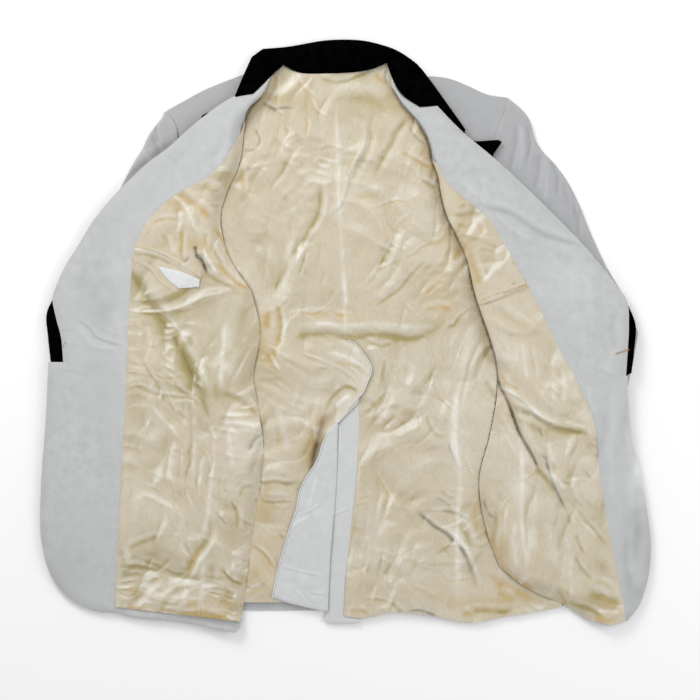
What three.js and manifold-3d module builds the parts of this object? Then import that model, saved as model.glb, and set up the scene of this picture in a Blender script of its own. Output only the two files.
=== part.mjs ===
// A dinner jacket laid open on its back, inside facing up. Millimetres, +Z up.
// The centre-back seam runs down -Y, the collar is at +Y and the cloth rests on z = 0.
// Each front is turned over outwards along a fold, so its facing and lining face up, and the
// sleeves run down beneath the fronts. Every panel is a thin wall that lies on what is under it.
import * as THREE from 'three';
import { mergeVertices } from 'three/addons/utils/BufferGeometryUtils.js';
import Module from 'manifold-3d';

const manifold = await Module();
manifold.setup();

// ---------------------------------------------------------------- driving sizes
const SHELL = 1.6;            // wall of the woven shell with its canvas
const LINING = 1.0;           // wall of the satin lining
const FACING = 1.2;           // wall of the inside facings
const VELVET = 2.0;           // wall of the velvet lapels and collar
const SEAM_GAP = 0.3;         // between neighbouring and stacked pieces
const PAD = 6.0;              // extra thickness of a padded shoulder
const SLEEVE_HEAD = 8.5;      // flattened sleeve, outside to outside, at the shoulder
const SLEEVE_FLAT = 5.4;      // and over the rest of its length
const SLEEVE_INSIDE = 2.2;    // height left open inside the flattened sleeve
const FOLD_BAND = 5;          // width of the turn that joins two leaves of a fold
const HINGE_ROLL = 6;         // how high a front stands at the fold it turns on
const HINGE_SPREAD = 38;      // and how far from the fold that dies away
const COLLAR_RISE = 9;        // height of the collar's roll above the neck seam
const HEM_SHOW = 12;          // shell that shows below the lining of the left hem
const HEAD_REACH = 110;       // how far from the shoulder point the sleeve head thins out
const PAD_REACH = 62;         // and the shoulder pad, from its own middle
const COLLAR_SEAM = 4;        // height of the collar at the neck seam
const COLLAR_SLOPE = 30;      // width over which it rises from there to its roll
const COLLAR_ROUND = 4;       // how far its outer edge rounds down
const COLLAR_ROUND_WIDTH = 9; // over this width
const HEM_SLOPE = 0.11;       // fall of the left lining's hem towards the fold

const BACK_HEM_LEFT = -377;   // y of the left half's hem
const LEAF_HEM = -362;        // y where the lower leaf of each front ends
const LAP_TOP = -1;           // y where the left lining starts to lap over the right one
const ARMPIT = 94;            // y of the underarm, where back and side panels part on the right
const SIDE_TOP = 62;          // y where the left side lining starts
const LINING_TOP = { left: 300, right: 262 };   // y where the front linings' folded edges start
const TURN_SPAN = [-360, 300]; // y range over which the two leaves of a front are joined
const COLLAR_BACK = 372;      // y above which the collar's leaf is folded under it

const CELL = 48;              // spacing of the sections that every panel shares
const HALF = 480;             // the sections reach this far from the middle each way
const COUNT = Math.round((2 * HALF) / CELL);
const STEP = 40;              // distance between points along a curved edge
const COLLAR_PARTS = 4;       // the collar's sections are this many times closer
const WALK = 1.5;             // step along an outline that looks for the squares under it
const DOUBLED = 0.2;          // points of an outline nearer than this are one point
const FLATNESS = 0.12;        // points that lie this near to a flat or straight run are left out
const SOLE = -20;             // an upright prism that cuts a panel out starts at this height
const CEILING = 120;          // and ends at this one

// ---------------------------------------------------------------- tables of the cut
// The left front, turned over: at each height y, where its free edge, the seam between
// facing and lining, and the fold on the inner side lie.
const FRONT_LEFT = [
  { y: 328, edge: -152, seam: -117, fold: -115 },
  { y: 311, edge: -178, seam: -134, fold: -132 },
  { y: 290, edge: -208, seam: -143, fold: -138 },
  { y: 265, edge: -234, seam: -150, fold: -141 },
  { y: 238, edge: -270, seam: -169, fold: -145 },
  { y: 216, edge: -293.5, seam: -188, fold: -154.5 },
  { y: 208, edge: -302, seam: -208, fold: -158.5 },
  { y: 171, edge: -337, seam: -260, fold: -171 },
  { y: 128, edge: -364, seam: -286, fold: -166 },
  { y: 97, edge: -384, seam: -292, fold: -153 },
  { y: 52, edge: -402, seam: -295, fold: -124 },
  { y: -10, edge: -406, seam: -299, fold: -117 },
  { y: -79, edge: -410, seam: -301, fold: -129 },
  { y: -123, edge: -412, seam: -304, fold: -110 },
  { y: -232, edge: -419, seam: -309, fold: -123 },
  { y: -312, edge: -412, seam: -314, fold: -133 },
  { y: -358, edge: -382, seam: -316, fold: -138 },
  { y: -378, edge: -338, seam: -317, fold: -142 },
];
// The right front in the same way.
const FRONT_RIGHT = [
  { y: 342, fold: 62, seam: 62.5, edge: null },
  { y: 312, fold: 79, seam: 84, edge: 128 },
  { y: 277, fold: 109, seam: 112, edge: 162 },
  { y: 247, fold: 115, seam: 121, edge: 199 },
  { y: 220, fold: 125, seam: 131, edge: 229 },
  { y: 192, fold: 130, seam: 159, edge: 258 },
  { y: 155, fold: 141, seam: 199, edge: 296 },
  { y: 121, fold: 160, seam: 219, edge: 329 },
  { y: 69, fold: 173, seam: 249, edge: 371 },
  { y: 47, fold: 179, seam: 260, edge: 385 },
  { y: -18, fold: 201, seam: 292, edge: 386 },
  { y: -54, fold: 208, seam: 312, edge: 385 },
  { y: -125, fold: 199, seam: 341, edge: 389 },
  { y: -202, fold: 182, seam: 348, edge: 406 },
  { y: -294, fold: 201, seam: 366, edge: 419 },
  { y: -331, fold: 222, seam: 374, edge: 414 },
  { y: -366, fold: 296, seam: 380, edge: 404 },
  { y: -390, fold: 332, seam: 384, edge: 386 },
];
// The armholes, from the shoulder point down to the underarm, and the line under each front
// where it joins the side of the back.
const ARMHOLE = {
  left: [[-245, 309], [-233, 291], [-229, 272], [-231, 228], [-234, 160], [-246, 100], [-258, 62]],
  right: [[221, 327], [214, 302], [203, 275], [197, 228], [200, 160], [214, 100], [230, 64]],
};
const SIDE_SEAM = {
  left: [[-256, 58], [-240, 30], [-234, -60], [-233, -200], [-235, -366]],
  right: [[231, 60], [240, -5], [250, -115], [268, -220], [286, -310], [299, -370]],
};
// Where the lower leaf of each front ends, beside the sleeve.
const LEAF_RETURN = {
  left: [[-255, 56], [-238, 30], [-231, -60], [-230, -200], [-232, LEAF_HEM]],
  right: [[231, 58], [238, -5], [244, -115], [247, -250], [262, -310], [288, LEAF_HEM]],
};
// Sleeves, from shoulder to cuff: outer edge and inner edge of the flattened tube.
const SLEEVE = {
  left: {
    outer: [[-249, 309], [-254, 298], [-269, 280], [-277, 262], [-289, 243], [-300, 223], [-312, 200],
      [-338, 140], [-362, 60], [-378, -20], [-384, -100], [-372, -190], [-366, -250]],
    inner: [[-259, 58], [-254, 20], [-246, -60], [-242, -150], [-240, -256]],
  },
  right: {
    outer: [[222, 328], [241, 312], [251, 299], [256, 284], [262, 265], [275, 249], [292, 231],
      [312, 199], [327, 165], [347, 116], [374, 68], [401, 14], [397, -24], [385, -80], [382, -160],
      [380, -246]],
    inner: [[233, 57], [247, 10], [252, -70], [256, -150], [256, -254]],
  },
};
const SHOULDER = {
  left: [[-128, 352], [-140, 360], [-193, 339], [-221, 324], [-246, 310]],
  right: [[92, 352], [112, 357], [142, 354], [170, 343], [195, 332], [221, 328]],
};
const PAD_CENTRE = { left: [-196, 296], right: [168, 300] };
// The neck seam of the back, the gorge of each front and the collar's outer edge.
const NECK = [[-101, 358], [-86, 372], [-73, 365], [-59, 361], [-18, 361], [15, 363], [37, 367], [56, 375]];
const GORGE = {
  left: [[-127, 331], [-118, 339], [-110, 347], [-104, 354]],
  right: [[62, 354], [75, 331], [101, 313], [125, 315]],
};
const COLLAR_EDGE = [[-152, 328], [-137, 365], [-129, 383], [-114, 394], [-75, 398], [-47, 402],
  [-23, 406], [15, 406], [40, 402], [66, 394], [90, 379], [102, 368], [133, 324], [156, 293],
  [163, 283], [162, 278]];
const COLLAR_INNER = {
  left: [[-150, 326.5], [-128, 332], [-118, 341], [-110, 349]],
  right: [[63, 355], [76, 332.5], [101, 314.5], [125, 316.5], [130, 310], [149, 291], [162, 277.5]],
};
const COLLAR_LEAF = [[-108, 360], [-86, 378], [-70, 369], [-18, 366], [15, 368], [37, 373], [58, 380],
  [78, 366]];
// The centre back, the vent below it and its pieces.
const CENTRE_BACK = [[-16, 361], [-16, 180], [-15, 0], [-12, -90]];
const VENT_FOLD = [[-11, -119], [-12, -161], [-14, -210], [-17, -248], [-21, -294], [-25, -377]];
const VENT_FLAP_EDGE = [[-23, -129], [-33, -150], [-37, -165], [-62, -209], [-68, -238], [-77, -264],
  [-92, -316], [-101, -358]];
// The left lining laps over the right one above the vent, as far as this line.
const VENT_LAP = [[-13.9, -1.3], [11, -9], [23, -22], [30, -32], [35, -42], [29.5, -62], [18, -86]];
const VENT_LAP_CORNER = [-13.7, -1.1];   // the right lining's corner at the top of the lap
const VENT_LAP_FOOT = [[17.6, -89.8], [-10.1, -118.4], [-16.3, -118.4]];
const VENT_STRIP_EDGE = [[18, -90], [18, -120], [16, -162], [14, -209], [5, -275], [-3, -384]];
const BACK_HEM_RIGHT = [[-3, -386], [22, -387], [67, -378], [97, -380], [140, -388], [153, -391]];
const SIDE_HEM_RIGHT = [[153, -391], [177, -393], [219, -385], [251, -380], [299, -371]];
const SIDE_BACK_SEAM = [[196, 92], [178, 64], [166, 35], [156, -5], [149, -100], [149, -197], [153, -391]];
const SIDE_FRONT_SEAM_LEFT = [[-148, 62], [-152, 0], [-162, -55], [-176, -90], [-185, -147],
  [-196, -272], [-199, -380]];
const HEM_LEFT = [[-338, -378], [-318, -379], [-290, -386], [-240, -390], [-197, -397], [-179, -402],
  [-152, -406], [-145, -398], [-142, -378]];
const HEM_RIGHT = [[386, -390], [362, -397], [342, -391], [332, -390]];
// Velvet lapels: the part that is turned under, and the band that comes out at the break.
const LAPEL_UNDER = {
  left: [[-160, 316], [-186, 307], [-194, 305], [-199, 300], [-205, 285], [-268, 230], [-330, 168],
    [-374, 98], [-397, 60], [-404, 46], [-409, 28], [-408, 6], [-398, -2], [-370, 60], [-315, 130],
    [-250, 190], [-185, 250], [-150, 296]],
  right: [[166, 271], [176, 268], [211, 269], [214, 266], [200, 245], [205, 232], [250, 188],
    [300, 142], [345, 92], [374, 58], [386, 46], [396, 20], [394, -2], [372, 6], [330, 60],
    [270, 120], [210, 178], [168, 228], [152, 262]],
};
const LAPEL_BAND = {
  left: {
    outer: [[-402.6, 52.4], [-411, 31], [-409, 0], [-405, -35]],
    inner: [[-387, -35], [-390, -2], [-397, 25], [-402, 52]],
  },
  right: {
    outer: [[385.6, 47.4], [397, 16], [395, -18], [391, -50]],
    inner: [[383, -54], [385.5, -18], [387, 12], [385, 47]],
  },
};
// Inside pockets and the blank label.
const POCKET_LEFT = {
  upper: [[-289, 123], [-253, 113], [-229, 99], [-199, 80]],
  lower: [[-290, 109], [-266, 97], [-248, 76], [-229, 64]],
  lip: 6,
};
const POCKET_RIGHT = { mouth: [[185, 50], [215, 60], [247, 71]], lip: 7 };
const LABEL = [[-257, 96], [-228, 89], [-200, 78], [-201, 68], [-228, 66], [-245, 80]];
// The largest folds: soft ridges that lift a panel by height along the line from a to b.
const BACK_FOLDS = [
  { a: [-60, 330], b: [-90, 180], width: 34, height: 5 },
  { a: [60, 250], b: [-10, 150], width: 32, height: 4 },
  { a: [110, 120], b: [30, 0], width: 36, height: 5 },
  { a: [-70, 90], b: [-40, -60], width: 30, height: 5 },
  { a: [60, -90], b: [90, -330], width: 34, height: 5 },
  { a: [-90, -60], b: [-110, -250], width: 30, height: 5 },
];
const FRONT_FOLDS = [
  { a: [-270, 150], b: [-190, 110], width: 30, height: 5 },
  { a: [-250, -60], b: [-170, -160], width: 34, height: 5 },
  { a: [-260, -200], b: [-180, -330], width: 34, height: 4 },
  { a: [230, -80], b: [330, -130], width: 36, height: 6 },
  { a: [250, -200], b: [330, -320], width: 36, height: 5 },
  { a: [-380, -60], b: [-360, -260], width: 42, height: 3 },
  { a: [330, 60], b: [370, -60], width: 42, height: 3 },
];

// ---------------------------------------------------------------- lines and outlines
const column = (table, name) => table.filter((row) => row[name] !== null).map((row) => [row[name], row.y]);

// A soft line through the points given, sampled about every STEP millimetres.
function soft(points) {
  const knots = points.map(([x, y]) => new THREE.Vector3(x, y, 0));
  const curve = new THREE.CatmullRomCurve3(knots, false, 'centripetal');
  const pieces = Math.max(points.length - 1, Math.round(curve.getLength() / STEP));
  return curve.getPoints(pieces).map((p) => [p.x, p.y]);
}

// The same line moved sideways, to its left as it is walked.
function beside(line, distance) {
  return line.map((point, i) => {
    const before = line[Math.max(i - 1, 0)];
    const after = line[Math.min(i + 1, line.length - 1)];
    const [dx, dy] = [after[0] - before[0], after[1] - before[1]];
    const length = Math.hypot(dx, dy);
    return [point[0] - (dy / length) * distance, point[1] + (dx / length) * distance];
  });
}

const backwards = (line) => [...line].reverse();
const above = (line, y) => line.filter((p) => p[1] > y);
const below = (line, y) => line.filter((p) => p[1] <= y);
const pointAt = (line, y) => {
  const i = line.findIndex((p, k) => k > 0 && (p[1] - y) * (line[k - 1][1] - y) <= 0);
  const [[ax, ay], [bx, by]] = [line[i - 1], line[i]];
  return [ax + ((bx - ax) * (y - ay)) / (by - ay), y];
};

// One closed outline from lines that follow on each other, with doubled points dropped.
function outline(...lines) {
  const points = lines.flat();
  return points.filter((p, i) => {
    const next = points[(i + 1) % points.length];
    return Math.hypot(p[0] - next[0], p[1] - next[1]) > DOUBLED;
  });
}

function distanceTo(line, x, y) {
  let nearest = Infinity;
  for (let i = 0; i + 1 < line.length; i++) {
    const [ax, ay] = line[i];
    const [dx, dy] = [line[i + 1][0] - ax, line[i + 1][1] - ay];
    const along = THREE.MathUtils.clamp(((x - ax) * dx + (y - ay) * dy) / (dx * dx + dy * dy || 1), 0, 1);
    nearest = Math.min(nearest, Math.hypot(x - ax - along * dx, y - ay - along * dy));
  }
  return nearest;
}

function isInside(shape, x, y) {
  let inside = false;
  for (let i = 0, j = shape.length - 1; i < shape.length; j = i++) {
    const [ax, ay] = shape[i];
    const [bx, by] = shape[j];
    if (ay > y !== by > y && x < ((bx - ax) * (y - ay)) / (by - ay) + ax) inside = !inside;
  }
  return inside;
}

const ridge = (distance, width) => Math.exp(-((distance / width) ** 2));
const foldsOf = (table) => (x, y) => table.reduce(
  (sum, fold) => sum + fold.height * ridge(distanceTo([fold.a, fold.b], x, y), fold.width), 0);

// ---------------------------------------------------------------- panels on shared sections
// Heights are kept on one square grid. Panels that share it, and the way its squares are halved,
// can lie on each other with the same gap everywhere.
class Sections {
  constructor(cell) {
    this.cell = cell;
    this.count = Math.round((2 * HALF) / cell);
  }

  node(i, j) { return j * (this.count + 1) + i; }

  place(node) {
    const i = node % (this.count + 1);
    const j = (node - i) / (this.count + 1);
    return [i * this.cell - HALF, j * this.cell - HALF];
  }

  corners(square) {
    const [i, j] = [square % this.count, Math.floor(square / this.count)];
    return [this.node(i, j), this.node(i + 1, j), this.node(i + 1, j + 1), this.node(i, j + 1)];
  }

  squareAt(x, y) {
    return Math.floor((y + HALF) / this.cell) * this.count + Math.floor((x + HALF) / this.cell);
  }

  squaresUnder(shape) {
    const found = new Set();
    shape.forEach((a, k) => {
      const b = shape[(k + 1) % shape.length];
      const parts = Math.ceil(Math.hypot(b[0] - a[0], b[1] - a[1]) / WALK);
      for (let s = 0; s < parts; s++) {
        found.add(this.squareAt(a[0] + ((b[0] - a[0]) * s) / parts, a[1] + ((b[1] - a[1]) * s) / parts));
      }
    });
    for (let square = 0; square < this.count ** 2; square++) {
      const [x, y] = this.place(this.corners(square)[0]);
      if (isInside(shape, x + this.cell / 2, y + this.cell / 2)) found.add(square);
    }
    return [...found].sort((a, b) => a - b);
  }
}

const sections = new Sections(CELL);
const pileTop = new Float64Array((COUNT + 1) ** 2).fill(-SEAM_GAP);

// Height of the pile at a point, read from the same half squares that the panels are made of.
function pileAt(x, y) {
  const [a, b, c, d] = sections.corners(sections.squareAt(x, y));
  const [x0, y0] = sections.place(a);
  const [u, v] = [(x - x0) / CELL, (y - y0) / CELL];
  if (u >= v) return pileTop[a] * (1 - u) + pileTop[b] * (u - v) + pileTop[c] * v;
  return pileTop[a] * (1 - v) + pileTop[c] * u + pileTop[d] * (v - u);
}

// Lays panels side by side on the pile, as one level: they keep SEAM_GAP to what is below, bridge
// narrow steps as cloth does, and are raised by their own folds. Each has its own wall.
function layLevel(panels, rise = () => 0, bridges = 2) {
  const level = Object.entries(panels).map(([name, { shape, wall }]) => {
    const squares = sections.squaresUnder(shape);
    const nodes = [...new Set(squares.flatMap((square) => sections.corners(square)))];
    const thickness = typeof wall === 'function' ? wall : () => wall;
    return { name, shape, squares, nodes, thickness };
  });
  const nodes = [...new Set(level.flatMap((panel) => panel.nodes))];
  let bottom = new Map(nodes.map((n) => [n, pileTop[n] + SEAM_GAP + rise(...sections.place(n))]));
  const row = COUNT + 1;
  for (let pass = 0; pass < bridges; pass++) {
    bottom = new Map(nodes.map((n) => {
      const around = [n - 1, n + 1, n - row, n + row].filter((m) => bottom.has(m));
      const mean = around.reduce((sum, m) => sum + bottom.get(m), 0) / around.length;
      return [n, around.length === 4 ? Math.max(bottom.get(n), mean) : bottom.get(n)];
    }));
  }
  const laid = {};
  for (const { name, shape, squares, nodes: own, thickness } of level) {
    const top = new Map(own.map((n) => [n, bottom.get(n) + thickness(...sections.place(n))]));
    laid[name] = { shape, squares, top, bottom: new Map(own.map((n) => [n, bottom.get(n)])) };
  }
  for (const { top } of Object.values(laid)) {
    for (const [n, z] of top) pileTop[n] = Math.max(pileTop[n], z);
  }
  return laid;
}
const lay = (shape, wall, rise, bridges) => layLevel({ only: { shape, wall } }, rise, bridges).only;

function solidFrom(geometry) {
  geometry.deleteAttribute('normal');
  geometry.deleteAttribute('uv');
  const merged = mergeVertices(geometry, 1e-4);
  return new manifold.Manifold(new manifold.Mesh({
    numProp: 3,
    vertProperties: new Float32Array(merged.attributes.position.array),
    triVerts: new Uint32Array(merged.index.array),
  }));
}

// The upright prism inside an outline.
function prism(shape) {
  const face = new THREE.Shape(shape.map(([x, y]) => new THREE.Vector2(x, y)));
  const geometry = new THREE.ExtrudeGeometry(face, { depth: CEILING - SOLE, bevelEnabled: false });
  geometry.translate(0, 0, SOLE);
  return solidFrom(geometry);
}

// The closed wall between two height maps over a set of squares, before it is cut to its outline.
function wallBetween(grid, squares, bottom, top) {
  const positions = [];
  const index = [];
  const ids = new Map();
  const vertex = (n, map, side) => {
    const key = `${n}${side}`;
    if (!ids.has(key)) {
      ids.set(key, positions.length / 3);
      positions.push(...grid.place(n), map.get(n));
    }
    return ids.get(key);
  };
  const edges = new Map();
  for (const square of squares) {
    const [a, b, c, d] = grid.corners(square);
    for (const [p, q, r] of [[a, b, c], [a, c, d]]) {
      index.push(vertex(p, top, 't'), vertex(q, top, 't'), vertex(r, top, 't'));
      index.push(vertex(p, bottom, 'b'), vertex(r, bottom, 'b'), vertex(q, bottom, 'b'));
      for (const [s, e] of [[p, q], [q, r], [r, p]]) {
        if (!edges.delete(`${e},${s}`)) edges.set(`${s},${e}`, [s, e]);
      }
    }
  }
  for (const [s, e] of edges.values()) {
    const [st, et] = [vertex(s, top, 't'), vertex(e, top, 't')];
    const [sb, eb] = [vertex(s, bottom, 'b'), vertex(e, bottom, 'b')];
    index.push(st, sb, eb, st, eb, et);
  }
  return new manifold.Manifold(new manifold.Mesh({
    numProp: 3,
    vertProperties: new Float32Array(positions),
    triVerts: new Uint32Array(index),
  }));
}

const cutOut = (panel, grid = sections) => wallBetween(grid, panel.squares, panel.bottom, panel.top)
  .intersect(prism(panel.shape));

// The turn of cloth that joins the lower leaf of a fold to the upper one, inside a shape.
function turn(lower, upper, shape) {
  const squares = sections.squaresUnder(shape).filter((s) => sections.corners(s)
    .every((n) => lower.bottom.has(n) && upper.top.has(n)));
  return wallBetween(sections, squares, lower.bottom, upper.top).intersect(prism(shape));
}

// ---------------------------------------------------------------- meshes
const jacket = new THREE.Group();
const FINISH = {
  shell: { color: 0xc9ccd0, roughness: 0.85 },
  lining: { color: 0xd9cdb0, roughness: 0.4 },
  velvet: { color: 0x0a0a0c, roughness: 0.95 },
  label: { color: 0xe8e8ea, roughness: 0.7 },
};
const materials = Object.fromEntries(Object.entries(FINISH).map(([name, look]) => [
  name, new THREE.MeshStandardMaterial({ ...look, metalness: 0 })]));

function addPiece(name, solid, finish) {
  const { vertProperties, triVerts, numProp } = solid.simplify(FLATNESS).getMesh();
  const geometry = new THREE.BufferGeometry();
  const points = new Float32Array((vertProperties.length / numProp) * 3);
  for (let i = 0; i < points.length / 3; i++) {
    points.set(vertProperties.subarray(i * numProp, i * numProp + 3), i * 3);
  }
  geometry.setAttribute('position', new THREE.BufferAttribute(points, 3));
  geometry.setIndex(new THREE.BufferAttribute(new Uint32Array(triVerts), 1));
  geometry.computeVertexNormals();
  const mesh = new THREE.Mesh(geometry, materials[finish]);
  mesh.name = name;
  jacket.add(mesh);
}

const HALF_GAP = SEAM_GAP / 2;
const edgeOf = { left: soft(column(FRONT_LEFT, 'edge')), right: soft(column(FRONT_RIGHT, 'edge')) };
const foldOf = { left: soft(column(FRONT_LEFT, 'fold')), right: soft(column(FRONT_RIGHT, 'fold')) };
const seamOf = { left: soft(column(FRONT_LEFT, 'seam')), right: soft(column(FRONT_RIGHT, 'seam')) };
const armhole = { left: soft(ARMHOLE.left), right: soft(ARMHOLE.right) };
const sideSeam = { left: soft(SIDE_SEAM.left), right: soft(SIDE_SEAM.right) };
const neck = soft(NECK);
const centreBack = soft(CENTRE_BACK);
const ventFold = soft(VENT_FOLD);
const sideBackSeam = soft(SIDE_BACK_SEAM);
const [neckLeft, neckRight] = [neck.filter((p) => p[0] < -17), neck.filter((p) => p[0] > -15)];
// In a line walked downwards, positive distances of beside() lie towards +X.
const toRight = (line, distance) => beside(line, distance);
const toLeft = (line, distance) => beside(line, -distance);

// ---------------------------------------------------------------- back of the shell
function backLeftShape(hem) {
  return outline(
    toLeft([...centreBack, ...ventFold], HALF_GAP).filter((p) => p[1] > hem),
    [[-25, hem], [-235, hem]], backwards(toRight(above(sideSeam.left, hem + 5), 0)),
    backwards(toRight(armhole.left, 0)), backwards(SHOULDER.left), [[-112, 350]], neckLeft);
}

const ventEdgeRight = toRight(ventFold, 1.2);
const backRightShape = outline(
  backwards(toRight([...above(centreBack, -92), ...ventEdgeRight], HALF_GAP)), neckRight,
  [[66, 352]], SHOULDER.right, above(armhole.right, ARMPIT + 2),
  toLeft(sideBackSeam, HALF_GAP), backwards(BACK_HEM_RIGHT).slice(1), [[-24, -386]]);

const sideRightShape = outline(
  backwards(toRight(sideBackSeam, HALF_GAP)), below(armhole.right, ARMPIT - 2),
  sideSeam.right, backwards(SIDE_HEM_RIGHT).slice(0, -1));
const ground = layLevel({
  backLeft: { shape: backLeftShape(BACK_HEM_LEFT), wall: SHELL },
  backRight: { shape: backRightShape, wall: SHELL },
  sideRight: { shape: sideRightShape, wall: SHELL },
}, () => 0, 0);

// ---------------------------------------------------------------- lining of the back, vent
const liningHemLeft = BACK_HEM_LEFT + HEM_SHOW;
const backLinings = layLevel({
  left: {
    wall: LINING,
    shape: outline(
      toLeft(above(centreBack, LAP_TOP), HALF_GAP), toLeft(soft(VENT_LAP), HALF_GAP), VENT_LAP_FOOT,
      toLeft(ventFold, FOLD_BAND + SEAM_GAP).filter((p) => p[1] > liningHemLeft),
      [[-30, liningHemLeft], [-229, liningHemLeft]],
      backwards(toRight(above(sideSeam.left, liningHemLeft + 5), 4)),
      backwards(toRight(armhole.left, 4)), [[-226, 316], [-193, 334], [-140, 355], [-112, 350]],
      neckLeft),
  },
  right: {
    wall: LINING,
    shape: outline(
      backwards(toRight(above(centreBack, LAP_TOP), HALF_GAP)), neckRight, [[66, 352]],
      [[112, 352], [170, 338], [214, 323]], toLeft(above(armhole.right, ARMPIT + 2), 4),
      toLeft(sideBackSeam, HALF_GAP), backwards(BACK_HEM_RIGHT).slice(1, -1),
      backwards(toRight(soft(VENT_STRIP_EDGE), HALF_GAP)),
      backwards(toRight(soft(VENT_LAP), HALF_GAP).slice(1)), [VENT_LAP_CORNER]),
  },
  side: {
    wall: LINING,
    shape: outline(
      backwards(toRight(sideBackSeam, HALF_GAP)), toLeft(below(armhole.right, ARMPIT - 2), 4),
      toLeft(sideSeam.right, 2), backwards(SIDE_HEM_RIGHT).slice(0, -1)),
  },
  strip: {
    wall: FACING,
    shape: outline(
      toRight(ventEdgeRight, HALF_GAP), [[-29, -390], [-22, -393], [18, -394], [20, -389], [-3.3, -384.5]],
      backwards(toLeft(soft(VENT_STRIP_EDGE), HALF_GAP))),
  },
}, foldsOf(BACK_FOLDS));

const ventFlap = lay(outline(
  toLeft(ventFold, HALF_GAP), [[-29, -377], [-78, -366], [-101, -358]],
  backwards(soft(VENT_FLAP_EDGE)), [[-16, -121]]), SHELL);
const ventTurn = turn(ground.backLeft, ventFlap, outline(
  toLeft(ventFold, HALF_GAP).filter((p) => p[1] > -375),
  backwards(toLeft(ventFold, FOLD_BAND)).filter((p) => p[1] > -375)));

// ---------------------------------------------------------------- sleeves, lower leaves
// The lower leaf of each front lies outside up, from the fold to the armhole and side seam.
// Its sleeve lies beside it: a flattened tube, open at the armhole and the cuff.
const lowerLeaves = {};
const sleeves = {};
for (const side of ['left', 'right']) {
  const away = side === 'left' ? -1 : 1;
  const outer = soft(SLEEVE[side].outer);
  const inner = soft(SLEEVE[side].inner);
  const cap = armhole[side].map(([x, y]) => [x + away * SEAM_GAP, y]);
  const nearHead = (x, y) => ridge(Math.hypot(x - cap[0][0], y - cap[0][1]), HEAD_REACH);
  const nearPad = (x, y) => ridge(Math.hypot(x - PAD_CENTRE[side][0], y - PAD_CENTRE[side][1]), PAD_REACH);
  const { tube, leaf } = layLevel({
    tube: {
      wall: (x, y) => SLEEVE_FLAT + (SLEEVE_HEAD - SLEEVE_FLAT) * nearHead(x, y),
      shape: outline(outer, backwards(inner), backwards(cap)),
    },
    leaf: {
      wall: (x, y) => SHELL + PAD * nearPad(x, y),
      shape: outline(
        SHOULDER[side], armhole[side], soft(LEAF_RETURN[side]),
        backwards(above(foldOf[side], LEAF_HEM))),
    },
  });
  const open = (sign) => new Map([...tube.bottom].map(
    ([n, z]) => [n, (z + tube.top.get(n) + sign * SLEEVE_INSIDE) / 2]));
  const [outerIn, innerIn] = [beside(outer, away * -SHELL), beside(inner, away * SHELL)];
  const past = (point, dx, dy) => [[point[0] + dx, point[1] + dy]];
  const inside = outline(
    past(outerIn[0], -away * 22, 4), outerIn.slice(1, -1), past(outerIn.at(-1), 0, -30),
    past(innerIn.at(-1), 0, -30), backwards(innerIn),
    backwards(cap.map(([x, y]) => [x - away * 6, y])).slice(0, -1));
  lowerLeaves[side] = leaf;
  sleeves[side] = cutOut(tube).subtract(
    wallBetween(sections, tube.squares, open(-1), open(1)).intersect(prism(inside)));
}

const lapelUnder = {
  left: lay(outline(soft([...LAPEL_UNDER.left, LAPEL_UNDER.left[0]])), VELVET, () => 0, 1),
  right: lay(outline(soft([...LAPEL_UNDER.right, LAPEL_UNDER.right[0]])), VELVET, () => 0, 1),
};

const frontFolds = foldsOf(FRONT_FOLDS);
const frontRise = (side) => (x, y) => frontFolds(x, y)
  + HINGE_ROLL * ridge(distanceTo(foldOf[side], x, y), HINGE_SPREAD);
// The shell's edge stays inside the velvet band where that turns round it.
function shellEdge(side) {
  const band = soft(LAPEL_BAND[side].inner);
  const [bandTop, bandFoot] = [band.at(-1)[1], band[0][1] - SEAM_GAP];
  return [
    ...edgeOf[side].filter((p) => p[1] > bandTop), ...backwards(band),
    [band[0][0], bandFoot], pointAt(edgeOf[side], bandFoot),
    ...edgeOf[side].filter((p) => p[1] < bandFoot)];
}
const hemOf = { left: HEM_LEFT, right: HEM_RIGHT };
const upperLeaves = {};
for (const side of ['left', 'right']) {
  const gorge = side === 'left' ? GORGE.left : GORGE.right;
  const top = side === 'left' ? backwards(gorge) : gorge;
  const inward = side === 'left' ? 1 : -1;
  upperLeaves[side] = lay(outline(
    top, shellEdge(side).map(([x, y]) => [x + inward * 1.5, y]),
    hemOf[side], backwards(foldOf[side])), SHELL, frontRise(side));
}

function frontSolid(side) {
  const [lower, upper] = [lowerLeaves[side], upperLeaves[side]];
  const inward = side === 'left' ? toLeft : toRight;
  const line = foldOf[side].filter((p) => p[1] > TURN_SPAN[0] && p[1] < TURN_SPAN[1]);
  const band = outline(line, backwards(inward(line, FOLD_BAND)));
  return cutOut(lower).add(cutOut(upper)).add(turn(lower, upper, band));
}

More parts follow.
